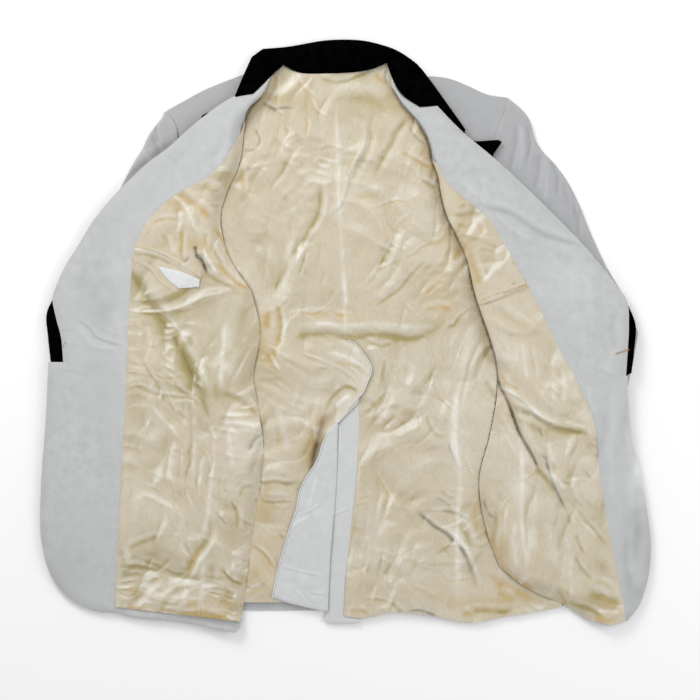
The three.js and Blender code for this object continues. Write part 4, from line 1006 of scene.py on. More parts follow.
# %% [markdown]
# The satin also has broad olive and tan patches, and broad painted sheen where the tint is
# light. An image could hold them, but ovals with uneven edges need none, and a row each is
# enough. The facings get painted shade and painted highlight in the same way.
# %% Broad patches and painted sheen: middle, half sizes, turn in degrees, tint, strength
PATCHES_AND_SHEEN = {
    "back": [
        ((-104, 331), (32, 22), 0, TAN, 0.40),
        ((-98, 322), (22, 12), 20, OLIVE, 0.35),
        ((-63, 317), (28, 14), -30, OLIVE, 0.28),
        ((53, 321), (46, 15), 0, OLIVE, 0.38),
        ((40, 316), (40, 12), 0, TAN, 0.22),
        ((-8, 303), (22, 9), 0, OLIVE, 0.2),
        ((101, 262), (14, 30), 10, TAN, 0.35),
        ((129, 64), (26, 52), -10, TAN, 0.34),
        ((150, 130), (16, 40), 0, TAN, 0.34),
        ((-112, -5), (13, 46), 0, TAN, 0.5),
        ((-22, 24), (44, 9), 0, TAN, 0.3),
        ((115, 16), (50, 11), 8, OLIVE, 0.35),
        ((30, 130), (40, 60), -20, TAN, 0.14),
        ((-40, 60), (50, 40), 0, OLIVE, 0.12),
        ((-111, -251), (18, 62), 0, TAN, 0.4),
        ((-115, -334), (26, 30), 0, TAN, 0.4),
        ((74, -350), (62, 16), 0, TAN, 0.3),
        ((170, -363), (52, 20), 0, TAN, 0.5),
        ((184, -240), (12, 70), 0, OLIVE, 0.4),
        ((60, -180), (40, 80), 0, TAN, 0.1),
    ],
    "left": [
        ((-268, 36), (13, 52), 30, OLIVE, 0.5),
        ((-220, -24), (15, 62), 24, OLIVE, 0.6),
        ((-190, -76), (44, 18), -12, OLIVE, 0.5),
        ((-284, -90), (20, 26), 0, OLIVE, 0.34),
        ((-268, -282), (42, 24), -20, OLIVE, 0.3),
        ((-282, -350), (32, 20), 0, TAN, 0.5),
        ((-200, -366), (64, 14), 0, TAN, 0.45),
        ((-150, -180), (16, 66), 6, LIGHT, 0.35),
        ((-164, -20), (14, 56), 0, LIGHT, 0.35),
        ((-227, 187), (26, 22), 0, TAN, 0.34),
        ((-166, 205), (11, 34), 12, TAN, 0.4),
        ((-200, 120), (22, 30), 40, TAN, 0.4),
        ((-150, -250), (16, 50), 0, OLIVE, 0.3),
        ((-200, -270), (12, 40), 24, OLIVE, 0.35),
        ((-240, 60), (30, 20), 0, TAN, 0.12),
    ],
    "right": [
        ((149, 178), (14, 32), 0, TAN, 0.4),
        ((172, 118), (15, 42), 12, TAN, 0.28),
        ((252, 9), (30, 40), 0, TAN, 0.16),
        ((286, -126), (54, 11), -12, OLIVE, 0.42),
        ((350, -290), (20, 54), 8, OLIVE, 0.4),
        ((340, -366), (46, 18), 0, OLIVE, 0.4),
        ((350, -372), (34, 16), 0, TAN, 0.35),
        ((208, -290), (15, 56), 8, TAN, 0.5),
        ((284, -350), (46, 16), -16, TAN, 0.34),
        ((238, -190), (18, 56), 0, LIGHT, 0.3),
        ((280, -230), (18, 60), 12, OLIVE, 0.22),
        ((218, -60), (16, 28), -30, TAN, 0.3),
    ],
}
# painted shade (dark) and painted highlight (light) on the facings
FACING_SHADES = {
    "left": [
        ((-400, -330), (44, 90), 0, DARK, 0.14),
        ((-300, 170), (60, 16), 40, DARK, 0.12),
        ((-250, 232), (50, 12), 38, DARK, 0.1),
        ((-340, -60), (20, 90), 0, DARK, 0.08),
        ((-340, 56), (30, 40), 20, DARK, 0.26),
        ((-322, 108), (36, 16), 52, DARK, 0.16),
        ((-310, 60), (24, 60), 0, LIGHT, 0.12),
    ],
    "right": [
        ((402, -305), (22, 70), 0, DARK, 0.45),
        ((402, -190), (16, 34), 0, LIGHT, 0.7),
        ((262, 136), (60, 12), -28, DARK, 0.16),
        ((390, -100), (16, 60), 0, LIGHT, 0.2),
        ((300, 70), (40, 60), 0, LIGHT, 0.12),
        ((350, -210), (14, 60), 0, DARK, 0.1),
    ],
}

# %% [markdown]
# The facings are the shell's cloth, which is thick and creases little. They have long soft swells
# and a few short creases near their edges.
# %% Folds of the facings and the shell
# dark rows are painted shade and light rows painted highlight
FACING_FOLDS = {
    "left": [
        ([(-330, 40), (-318, -60), (-322, -160)], 14, -1.2, TAN, 0),
        ([(-352, -40), (-344, -140), (-350, -240)], 18, 1.2),
        ([(-300, 170), (-330, 110), (-350, 40)], 12, -1.4),
        ([(-260, 210), (-230, 250), (-190, 285)], 10, -1.6),
        ([(-282, 190), (-250, 232), (-214, 268)], 9, 1.2),
        ([(-368, -300), (-350, -340), (-330, -372)], 10, -1.2),
        ([(-188, 238), (-170, 256), (-158, 280)], 6, -1.2),
        ([(-372, 22), (-356, 14), (-342, -2), (-322, -10), (-302, -14)], 4, -1.6, DARK, 0.12, 1),
        ([(-374, 12), (-360, 4), (-348, -12), (-330, -16), (-312, -18)], 4, 1.4, LIGHT, 0.25),
        ([(-390, 6), (-374, 8), (-366, 6)], 3, -1, DARK, 0.1),
        ([(-340, 12), (-326, 4), (-308, -2)], 4, -0.8, DARK, 0.08),
        ([(-398, -48), (-376, -48), (-352, -54)], 4, -0.8, DARK, 0.08),
    ],
    "right": [
        ([(176, 180), (190, 176), (206, 172), (222, 167), (236, 159), (250, 150), (266, 140),
          (286, 132), (310, 125), (332, 119)], 9, -3, DARK, 0.16, 1),
        ([(202, 170), (222, 152), (242, 138), (262, 130)], 7, 2, LIGHT, 0.35),
        ([(160, 218), (170, 200), (184, 191), (192, 178)], 5, 1.4, LIGHT, 0.35),
        ([(184, 218), (190, 200), (196, 184)], 4, 1, LIGHT, 0.3),
        ([(352, -100), (353, -125), (348, -150), (344, -178)], 9, -2.4, DARK, 0.15),
        ([(364, -60), (366, -120), (362, -180), (370, -240)], 10, 2.2, LIGHT, 0.2),
        ([(330, -62), (334, -90), (344, -112)], 5, 1.6, LIGHT, 0.3),
        ([(352, 20), (362, -20), (366, -60)], 12, 1.6),
        ([(392, -180), (398, -250), (396, -320)], 9, -2.2, DARK, 0.12),
        ([(384, -260), (382, -310), (392, -350)], 7, -1.6, DARK, 0.1),
        ([(300, 60), (320, 10), (330, -30)], 16, 1.2),
        ([(366, 40), (362, 8), (366, -20)], 10, -1, DARK, 0.16),
        ([(346, -38), (356, -46), (368, -52)], 3, 1.2, LIGHT, 0.3),
        ([(380, -90), (378, -130), (384, -170)], 8, -1.2, DARK, 0.14),
    ],
}

# %% [markdown]
# ## Finishes
# Three effects are shared: a fine weave, a fine crinkle, and slow drifts of tone. Each is a node
# group that gives only a value or a normal. The main colours stay in the materials.
# %% Shared shader groups


def new_group(name, inputs, outputs):
    tree = bpy.data.node_groups.new(name, "ShaderNodeTree")
    for socket, kind in inputs:
        tree.interface.new_socket(socket, in_out="INPUT", socket_type=kind)
    for socket, kind in outputs:
        tree.interface.new_socket(socket, in_out="OUTPUT", socket_type=kind)
    return tree, tree.nodes.new("NodeGroupInput"), tree.nodes.new("NodeGroupOutput")


def math_node(tree, kind, a, b=None, clamp=False):
    node = tree.nodes.new("ShaderNodeMath")
    node.operation = kind
    node.use_clamp = clamp
    for socket, value in zip(node.inputs, (a, b)):
        if value is None:
            continue
        if isinstance(value, (int, float)):
            socket.default_value = value
        else:
            tree.links.new(value, socket)
    return node.outputs[0]


def bump_node(tree, given, height):
    bump = tree.nodes.new("ShaderNodeBump")
    tree.links.new(given.outputs["Strength"], bump.inputs["Strength"])
    tree.links.new(given.outputs["Depth"], bump.inputs["Distance"])
    tree.links.new(height, bump.inputs["Height"])
    return bump


def make_weave():
    """Threads that pass over and under each other, as a normal."""
    tree, given, result = new_group(
        "Weave",
        [("Threads per metre", "NodeSocketFloat"), ("Strength", "NodeSocketFloat"),
         ("Depth", "NodeSocketFloat")],
        [("Normal", "NodeSocketVector"), ("Height", "NodeSocketFloat")])
    where = tree.nodes.new("ShaderNodeTexCoord").outputs["Object"]
    split = tree.nodes.new("ShaderNodeSeparateXYZ")
    tree.links.new(where, split.inputs[0])
    waves = []
    for axis in ("X", "Y"):
        turns = math_node(tree, "MULTIPLY", split.outputs[axis], given.outputs["Threads per metre"])
        waves.append(math_node(tree, "SINE", math_node(tree, "MULTIPLY", turns, 2 * np.pi)))
    height = math_node(tree, "MULTIPLY", waves[0], waves[1])
    bump = bump_node(tree, given, height)
    tree.links.new(bump.outputs[0], result.inputs["Normal"])
    tree.links.new(height, result.inputs["Height"])
    return tree


def noise_node(tree, scale, detail, where, rough=0.5, distortion=0.0):
    node = tree.nodes.new("ShaderNodeTexNoise")
    node.inputs["Scale"].default_value = scale
    node.inputs["Detail"].default_value = detail
    node.inputs["Roughness"].default_value = rough
    node.inputs["Distortion"].default_value = distortion
    tree.links.new(where, node.inputs["Vector"])
    return node.outputs["Fac"]


CRINKLES = ((34.0, 0.55, 0.7), (75.0, 0.3, 2.1), (150.0, 0.15, 1.3))  # scale, share, turn


def make_crinkle():
    """Creases finer than the mesh: thin sharp lines in a few directions, as a normal."""
    tree, given, result = new_group(
        "Crinkle",
        [("Strength", "NodeSocketFloat"), ("Depth", "NodeSocketFloat"), ("Under", "NodeSocketVector")],
        [("Normal", "NodeSocketVector"), ("Lines", "NodeSocketFloat")])
    where = tree.nodes.new("ShaderNodeTexCoord").outputs["Object"]
    total = lines = None
    for scale, share, turn in CRINKLES:
        turned = tree.nodes.new("ShaderNodeMapping")
        turned.inputs["Rotation"].default_value = (0, 0, turn)
        turned.inputs["Scale"].default_value = (1.0, 0.42, 1.0)
        tree.links.new(where, turned.inputs["Vector"])
        value = noise_node(tree, scale, 2.0, turned.outputs[0], 0.5, 0.8)
        crest = math_node(tree, "ABSOLUTE", math_node(tree, "SUBTRACT", value, 0.5))
        part = math_node(tree, "MULTIPLY", math_node(tree, "POWER", crest, 0.6), share)
        total = part if total is None else math_node(tree, "ADD", total, part)
        line = math_node(tree, "SUBTRACT", 1.0, math_node(tree, "MULTIPLY", crest, 42.0), True)
        lines = line if lines is None else math_node(tree, "MAXIMUM", lines, line)
    bump = bump_node(tree, given, total)
    tree.links.new(given.outputs["Under"], bump.inputs["Normal"])
    tree.links.new(bump.outputs[0], result.inputs["Normal"])
    tree.links.new(lines, result.inputs["Lines"])
    return tree


def make_mottle():
    """Slow drifts of tone from 0 to 1, at three sizes."""
    tree, given, result = new_group(
        "Mottle", [("Contrast", "NodeSocketFloat")],
        [("Wide", "NodeSocketFloat"), ("Middle", "NodeSocketFloat"), ("Small", "NodeSocketFloat")])
    where = tree.nodes.new("ShaderNodeTexCoord").outputs["Object"]
    for socket, scale in (("Wide", 7.0), ("Middle", 22.0), ("Small", 90.0)):
        value = math_node(tree, "SUBTRACT", noise_node(tree, scale, 3.0, where, 0.6), 0.5)
        spread = math_node(tree, "MULTIPLY", value, given.outputs["Contrast"])
        tree.links.new(math_node(tree, "ADD", spread, 0.5, True), result.inputs[socket])
    return tree


WEAVE, CRINKLE, MOTTLE = make_weave(), make_crinkle(), make_mottle()


# %% [markdown]
# The lining is cream satin with painted shade: olive where it lies in a trough, tan beside folds.
# The shell is a light grey worsted. The velvet is black with a short nap.
# %% Materials
CREAM = (0.575, 0.51, 0.39)
CREAM_PALE = (0.63, 0.59, 0.50)
CREAM_DEEP = (0.51, 0.43, 0.285)
# painted shade (olive, tan, dark) and painted highlight (light); they also make broad patches and pale
# seams
TINT_COLOURS = {
    OLIVE: (0.335, 0.275, 0.10),
    TAN: (0.50, 0.35, 0.135),
    DARK: (0.07, 0.045, 0.018),
    LIGHT: (0.78, 0.76, 0.69),
}
GREY = (0.508, 0.518, 0.518)
GREY_PALE = (0.565, 0.575, 0.575)
GREY_DEEP = (0.445, 0.452, 0.456)
TAPE = (0.72, 0.735, 0.75)
# painted shade and painted highlight on the shell; the light one also makes the vent's turned edges
# paler
SHELL_DARK = (0.30, 0.30, 0.315)
SHELL_LIGHT = (0.82, 0.83, 0.84)
VELVET_DEEP = (0.0004, 0.0004, 0.0004)
VELVET_PALE = (0.0016, 0.0016, 0.0017)
BROWN_THREAD = (0.45, 0.27, 0.13)
PALE_THREAD = (0.58, 0.54, 0.44)
DARK_THREAD = (0.03, 0.03, 0.03)


def new_material(name, rough):
    material = bpy.data.materials.new(name)
    material.use_nodes = True
    surface = material.node_tree.nodes["Principled BSDF"]
    surface.inputs["Roughness"].default_value = rough
    return material, material.node_tree, surface


def use_group(tree, group, **values):
    node = tree.nodes.new("ShaderNodeGroup")
    node.node_tree = group
    for name, value in values.items():
        node.inputs[name.replace("_", " ")].default_value = value
    return node


def mixed(tree, share, first, second):
    node = tree.nodes.new("ShaderNodeMix")
    node.data_type = "RGBA"
    for socket, value in ((node.inputs[0], share), (node.inputs[6], first), (node.inputs[7], second)):
        if isinstance(value, tuple):
            socket.default_value = (*value, 1)
        elif isinstance(value, (int, float)):
            socket.default_value = value
        else:
            tree.links.new(value, socket)
    return node.outputs[2]


def fold_tints(tree):
    """The four tints kept on the mesh, mostly painted shade and highlight: olive, tan and dark as
    colours, light as alpha.
    """
    layer = tree.nodes.new("ShaderNodeAttribute")
    layer.attribute_name = "folds"
    split = tree.nodes.new("ShaderNodeSeparateColor")
    tree.links.new(layer.outputs["Color"], split.inputs[0])
    return [*split.outputs[:3], layer.outputs["Alpha"]]


def make_lining():
    material, tree, surface = new_material("lining", 0.47)
    mottle = use_group(tree, MOTTLE, Contrast=2.6)
    colour = mixed(tree, mottle.outputs["Wide"], CREAM_DEEP, CREAM_PALE)
    colour = mixed(tree, 0.62, colour, CREAM)
    # the painted shade and painted highlight kept on the mesh, unevenly strong
    for tint, share in enumerate(fold_tints(tree)):
        uneven = math_node(tree, "MULTIPLY", mottle.outputs["Middle"], 0.7)
        uneven = math_node(tree, "ADD", uneven, 0.55)
        strength = math_node(tree, "MULTIPLY", share, uneven, True)
        colour = mixed(tree, strength, colour, TINT_COLOURS[tint])
    weave = use_group(tree, WEAVE, Threads_per_metre=2600.0, Strength=0.18, Depth=0.0001)
    crinkle = use_group(tree, CRINKLE, Strength=0.6, Depth=0.004)
    # painted shade in olive along the finest crinkle lines
    patchy = math_node(tree, "MULTIPLY", crinkle.outputs["Lines"], mottle.outputs["Middle"])
    colour = mixed(tree, math_node(tree, "MULTIPLY", patchy, 0.28), colour, TINT_COLOURS[OLIVE])
    tree.links.new(colour, surface.inputs["Base Color"])
    tree.links.new(weave.outputs["Normal"], crinkle.inputs["Under"])
    tree.links.new(crinkle.outputs["Normal"], surface.inputs["Normal"])
    surface.inputs["Sheen Weight"].default_value = 0.12
    surface.inputs["Specular IOR Level"].default_value = 0.5
    return material


def make_shell():
    material, tree, surface = new_material("shell", 0.86)
    mottle = use_group(tree, MOTTLE, Contrast=2.2)
    colour = mixed(tree, mottle.outputs["Small"], GREY_DEEP, GREY_PALE)
    colour = mixed(tree, mottle.outputs["Wide"], colour, GREY)
    # painted shade and painted highlight kept on the mesh
    _, _, dark, light = fold_tints(tree)
    colour = mixed(tree, dark, colour, SHELL_DARK)
    colour = mixed(tree, light, colour, SHELL_LIGHT)
    tree.links.new(colour, surface.inputs["Base Color"])
    weave = use_group(tree, WEAVE, Threads_per_metre=900.0, Strength=0.35, Depth=0.0003)
    tree.links.new(weave.outputs["Normal"], surface.inputs["Normal"])
    surface.inputs["Sheen Weight"].default_value = 0.2
    surface.inputs["Sheen Roughness"].default_value = 0.5
    return material


def make_velvet():
    material, tree, surface = new_material("velvet", 0.95)
    mottle = use_group(tree, MOTTLE, Contrast=3.0)
    colour = mixed(tree, mottle.outputs["Small"], VELVET_DEEP, VELVET_PALE)
    tree.links.new(colour, surface.inputs["Base Color"])
    nap = tree.nodes.new("ShaderNodeBump")
    nap.inputs["Strength"].default_value = 0.6
    nap.inputs["Distance"].default_value = 0.0012
    where = tree.nodes.new("ShaderNodeTexCoord").outputs["Object"]
    tree.links.new(noise_node(tree, 900.0, 2.0, where), nap.inputs["Height"])
    tree.links.new(nap.outputs[0], surface.inputs["Normal"])
    surface.inputs["Sheen Weight"].default_value = 0.004
    surface.inputs["Sheen Roughness"].default_value = 0.3
    surface.inputs["Specular IOR Level"].default_value = 0.0
    return material


def make_label():
    material, tree, surface = new_material("label", 0.8)
    surface.inputs["Base Color"].default_value = (*TAPE, 1)
    weave = use_group(tree, WEAVE, Threads_per_metre=1400.0, Strength=0.4, Depth=0.0002)
    tree.links.new(weave.outputs["Normal"], surface.inputs["Normal"])
    return material


def make_thread(name, colour):
    material, _, surface = new_material(name, 0.7)
    surface.inputs["Base Color"].default_value = (*colour, 1)
    return material


lining, shell, velvet, tape = make_lining(), make_shell(), make_velvet(), make_label()
CLOTHS = {  # material of each kind of wall, and a slot name that nothing uses
    "shell": (shell, "shell"),
    "facing": (shell, "shell"),
    "lining": (lining, "lining"),
    "velvet": (velvet, "velvet"),
    "label": (tape, "label"),
}
brown_thread = make_thread("brown thread", BROWN_THREAD)
pale_thread = make_thread("pale thread", PALE_THREAD)
dark_thread = make_thread("dark thread", DARK_THREAD)

# %% [markdown]
# ## Laying the layers
# From the floor up: the back's shell, the back's lining, the sleeves, the turned-under part of
# each front, its upper part, and on top the facing and lining. Each layer's height comes from
# its solid, and the layers above are eased so that they never sink into the ones below.
# %% Heights of the layers
GROUND = 1.12  # top of the shell that lies on the floor
SLEEVE_THICK = 4.2  # of the flattened sleeve in cloth
SLEEVE_SOLID = 6.0  # and of its solid, which is a little thinner but at the head
FRONT_PILE = 3.6  # a front's cloths on top of the sleeve
FRONT_LOWEST = 3.4  # a front's lining comes down to this where it turns over
BACK_LOWEST = GROUND + 1.3  # the back's lining comes down to this
BACK_CLEARS = 0.9  # it stays this far under the fronts' lower leaves
LEAF_EDGE = (-5, 3)  # from outside to inside a lower leaf, where that takes hold
FACING_CREASES = 0.13  # the stiffer facing has this share of the lining's creases,
FACING_FOLDED = 0.15  # this share of its folds,
FACING_LIGHT = 0.25  # and fainter painted highlights of its own
FAR = 40.0  # a distance at which no edge is felt
sleeve_top = {side: Relief([f"sleeve_{side}"], empty=0.0) for side in SIDES}
sleeve_base = {side: Relief([f"sleeve_{side}"], above=False) for side in SIDES}
front_base = {side: Relief([f"front_{side}"], above=False, softness=9.0) for side in SIDES}
SEEDS = {"left": 11, "right": 301, "back": 601}
LEANS = {"left": -0.95, "right": -1.15, "back": -1.3}
FRONT_TABLES = {
    "left": [LEFT_FOLDS, LEFT_SEAMS],
    "right": [RIGHT_FOLDS, RIGHT_SEAMS, RIGHT_VALLEY],
}


leaf_outlines = {side: outline_of(f"front_{side}", -1, min) for side in SIDES}


def leaf_depth(side, x, y):
    """How far a point is inside the outline of a front's lower leaf; negative outside."""
    outline = leaf_outlines[side]
    return np.where(inside_of(outline, x, y), 1, -1) * edge_gap(outline, x, y)


def back_height(x, y, gap):
    folds, tints = folds_at([BACK_FOLDS, BACK_SEAMS], x, y)
    creases, facets = satin(x, y, SEEDS["back"], LEANS["back"])
    creases *= 0.35 + 0.65 * ramp(gap, 0, 14)
    tints = tinted_ovals(PATCHES_AND_SHEEN["back"], x, y, tints + facets)
    z = kept_above(back_top(x, y) + LIFT + folds + creases - roll(gap, **SEAM_DIP), BACK_LOWEST)
    for side in SIDES:
        leaf = ramp(leaf_depth(side, x, y), *LEAF_EDGE)
        lid = front_base[side](x, y) - BACK_CLEARS + (1 - leaf) * 12
        z = np.where(leaf > 0, np.minimum(z, lid), z)
        # painted shadow on the back's lining along each front's fold edge, fainter where the fold is a
        # slope
        near = fold_gap(side, x, y)
        edge = 1 - 0.85 * softly_turned(side, y)
        tints[:, TAN] += 0.42 * edge * bell(near, 11.0)
        tints[:, DARK] += 0.3 * edge * bell(near, 1.8)
    return z, np.clip(tints, 0, 1)


def front_height(side, x, y, gap, calm):
    """Height and tints of the facing and lining of one front."""
    folds, tints = folds_at(FRONT_TABLES[side], x, y)
    stiff, stiff_tints = folds_at([FACING_FOLDS[side]], x, y)
    creases, facets = satin(x, y, SEEDS[side], LEANS[side], share=1.35)
    if calm:
        strength = FACING_CREASES
        folds, tints = stiff + FACING_FOLDED * folds, stiff_tints
        tints[:, LIGHT] *= FACING_LIGHT
    else:
        strength = 0.25 + 0.75 * ramp(gap, 0, 16)
        tints = np.clip(tinted_ovals(PATCHES_AND_SHEEN[side], x, y, tints + facets), 0, 1)
    turn = fold_gap(side, x, y)
    z = inside[side](x, y) + LIFT + folds + creases * strength
    # painted shadow along the lining's fold edge, fainter where the fold is a slope
    if not calm:
        edge = 1 - 0.85 * softly_turned(side, y)
        tints[:, DARK] += 0.3 * edge * bell(turn, 1.3)
        tints[:, TAN] += 0.3 * edge * bell(turn, 5.0)
    floor = sleeve_top[side](x, y) - SLEEVE_SOLID + SLEEVE_THICK + FRONT_PILE
    return kept_above(turn_down(side, kept_above(z, floor), turn, y), FRONT_LOWEST), tints


def lining_height(side):
    def height(x, y, gap):
        z, tints = front_height(side, x, y, gap, calm=False)
        return z - roll(gap, **SEAM_DIP), tints
    return height


def facing_height(side):
    def height(x, y, gap):
        z, tints = front_height(side, x, y, gap, calm=True)
        outer = edge_gap(front_outlines[side], x, y)
        tints = tinted_ovals(FACING_SHADES[side], x, y, tints)
        # painted shade near the facing's outer edge, where it rounds down
        tints[:, DARK] += 0.16 * bell(outer, 9.0)
        z = z - roll(outer, radius=14.0, fall=2.2) - roll(gap, radius=2.0, fall=0.4)
        return z, np.clip(tints, 0, 1)
    return height


def shell_under(side, x, y):
    """The front's shell keeps clear of the lining's troughs and follows its swells."""
    lowest = np.full(x.shape, np.inf)
    far = np.full(x.shape, FAR)
    for dx, dy in ((0, 0), (5, 0), (-5, 0), (0, 5), (0, -5)):
        lowest = np.minimum(lowest, front_height(side, x + dx, y + dy, far, calm=False)[0])
        lowest = np.minimum(lowest, front_height(side, x + dx, y + dy, far, calm=True)[0])
    return lowest - LINING_RISE


# %% [markdown]
# ## The back
# The back's shell is two halves and a side panel that lie flat on the floor. Only their hems
# show. Its lining is three panels, and the left half's vent edge is turned back on top of it.
# %% Back shell and lining
HEM_SHOWS = -350.0  # below this y
SEEN_MARGIN = 8.0  # the back is cut fine this far under the fronts


def flat_on_floor(x, y, gap):
    return np.full(x.shape, GROUND), np.zeros((len(x), 4))


for node in ("back_left", "back_right", "side_right"):
    outline = outline_of(node, 1, min)
    lay_cloth(f"{node}_shell", outline, flat_on_floor, "shell",
              [] if node == "back_left" else [node], lambda x, y: y < HEM_SHOWS)

front_outlines = {side: outline_of(f"front_{side}") for side in SIDES}


def between_fronts(x, y):
    """Where the back can be seen: everywhere but under the fronts, with a small margin."""
    seen = np.ones(x.shape, dtype=bool)
    for side in SIDES:
        covered = inside_of(front_outlines[side], x, y)
        near = edge_gap(front_outlines[side], x, y) < SEEN_MARGIN
        seen &= ~covered | near
    return seen


PIPING = [(2, -5), (11, -9), (23, -22), (30, -32), (35, -42), (35, -47), (29.5, -62), (22.6, -77),
          (9.6, -91), (-8, -114), (-25, -129.5)]
piping_path = spline(np.array(PIPING, dtype=float), 2.0)
piping_tree = tree_of(piping_path)
LAP_RISE = 1.7


def lapped(sign):
    """The back's lining near the top of the vent, where its left half (1) laps the right (-1)."""
    def height(x, y, gap):
        z, tints = back_height(x, y, gap)
        near = np.array([piping_tree.find((a, b, 0))[2] for a, b in zip(x, y)])
        if sign > 0:
            z = z + LAP_RISE * bell(near, 15)
            # painted highlight along the raised lap
            tints[:, LIGHT] += 0.4 * bell(near, 10)
        else:
            # painted shadow on the right half beside the lap
            tints[:, DARK] += 0.3 * bell(near, 2.2)
            tints[:, OLIVE] += 0.3 * bell(near, 6.0)
        return z, np.clip(tints, 0, 1)
    return height


for node in ("back_lining_left", "back_lining_right", "side_lining_right"):
    lay_cloth(f"{node}_cloth", outline_of(node), lapped(1 if node == "back_lining_left" else -1),
              "lining", [node], between_fronts)


VENT_TUCK = 2.2  # the strip's left side is tucked under the turned flap
# dark rows are painted shade in the flap's creases, the light row a painted highlight
VENT_FOLDS = [
    ([(-92, -316), (-60, -325), (-27, -331)], 2.5, -1.4, DARK, 0.3),
    ([(-60, -245), (-46, -240), (-33, -231)], 2.5, -1.2, DARK, 0.25),
    ([(-76, -262), (-62, -252), (-50, -247)], 3, 1, LIGHT, 0.1),
    ([(-19, -247), (-6, -243), (4, -238)], 2.5, -1.2, DARK, 0.2),
    ([(-50, -352), (-38, -355), (-26, -354)], 2.5, -1.2, DARK, 0.25),
    ([(-72, -350), (-66, -356), (-58, -362)], 2.5, -1, DARK, 0.2),
    ([(-40, -190), (-46, -215), (-54, -240)], 7, 1),
]


FLAP_LIGHT = 0.3  # the turned edges of the vent are paler than the facings
FLAP_RISE = 2.6  # over the back's lining, on average
FLAP_CLEARS = 1.6  # and at the least


def vent_height(x, y, gap):
    z, _ = back_height(x, y, np.full(x.shape, FAR))
    base = back_top(x, y) + LIFT + FLAP_RISE
    swell = 0.8 * drift(x, y, 60, 77) + 0.3 * drift(x, y, 20, 78)
    folds, tints = folds_at([VENT_FOLDS], x, y)
    tints[:, LIGHT] += FLAP_LIGHT
    return np.maximum(base, z + FLAP_CLEARS) + swell + folds - roll(gap, 2.6, 1.1), tints


lay_cloth("vent_underlap", outline_of("back_left"), vent_height, "shell", ["back_left"])


# painted shadow in the slit between the turned flap and the strip
VENT_SLIT = [([(-11.8, -118), (-11.6, -140), (-12.6, -166)], 1.6, -1.0, DARK, 1.6)]


def vent_edge_height(x, y, gap):
    swell = 0.7 * drift(x, y, 70, 81) + 0.25 * drift(x, y, 24, 82)
    folds, tints = folds_at([VENT_FOLDS, VENT_SLIT], x, y)
    tints[:, LIGHT] += FLAP_LIGHT
    return back_top(x, y) + LIFT + swell + folds - roll(gap, 3.0, 0.5), tints


strip = outline_of("vent_facing_right")
outward = grown(strip, 1.0) - strip
strip = strip + VENT_TUCK * np.minimum(outward[:, :1], 0) * np.abs(outward)
lay_cloth("vent_edge", strip, vent_edge_height, "facing", ["vent_facing_right"])

# %% [markdown]
# ## The sleeves
# A sleeve is a tube that lies flat. Its upper and lower leaves meet along both sides, and stay
# apart at the cuff, where the sleeve is open.
# %% Sleeves
CUFF_BAND = 9.0  # the ring within this of the lowest point is the open cuff
OUTSIDE_SHADE = {"left": 0.54, "right": 0.52}  # painted shade on the outside-up shell of sleeves and lower leaves, which slope away from the light
SLEEVE_SHOWS = 90.0  # above this y
SLEEVE_ROUND = 7.0  # the leaves curve together over this
ON_EDGE = 0.6  # a point this near the outline is on it


def lay_sleeve(side):
    name, node = f"sleeve_{side}_cloth", f"sleeve_{side}"
    outline = outline_of(node)
    cuff = outline[:, 1].min() + CUFF_BAND
    plan, faces = cut_panel(outline, lambda x, y: y > SLEEVE_SHOWS)
    x, y = plan[:, 0], plan[:, 1]
    gap = edge_gap(outline, x, y)
    low = np.maximum(sleeve_base[side](x, y), GROUND)
    bulge = np.sqrt(np.clip(1 - (1 - np.clip(gap / SLEEVE_ROUND, 0, 1)) ** 2, 0, 1))
    half = SLEEVE_THICK / 2
    middle = low + half
    swell = 0.9 * drift(x, y, 55, 401 + len(side)) + 0.4 * drift(x, y, 22, 402)
    folds, tints = folds_at([SLEEVE_FOLDS[side]], x, y)
    tints[:, LIGHT] *= 0.3
    # painted shade on the outside-up sleeve
    tints[:, DARK] += OUTSIDE_SHADE[side]
    upper = middle + (half + swell + folds) * bulge
    lower = middle - (half - 0.6) * bulge
    open_end = (gap < ON_EDGE) & (y < cuff)
    upper = np.where(open_end, middle + half, upper)
    lower = np.where(open_end, middle - half, lower)
    shared = (gap < ON_EDGE) & ~open_end
    count = len(plan)
    other = np.where(shared, np.arange(count), count + np.cumsum(~shared) - 1)
    points = np.vstack([np.column_stack([x, y, upper]), np.column_stack([x, y, lower])[~shared]])
    flipped = [tuple(int(other[i]) for i in reversed(face)) for face in faces]
    all_tints = np.vstack([tints, np.zeros((int((~shared).sum()), 4))])
    piece = new_piece(name, points, [*faces, *flipped], shell, WALL["shell"], all_tints)
    declare(piece, outline, [node], leaves=2.0)
    print(f"{name}: {len(piece.data.polygons)} faces, up to {points[:, 2].max():.1f}")


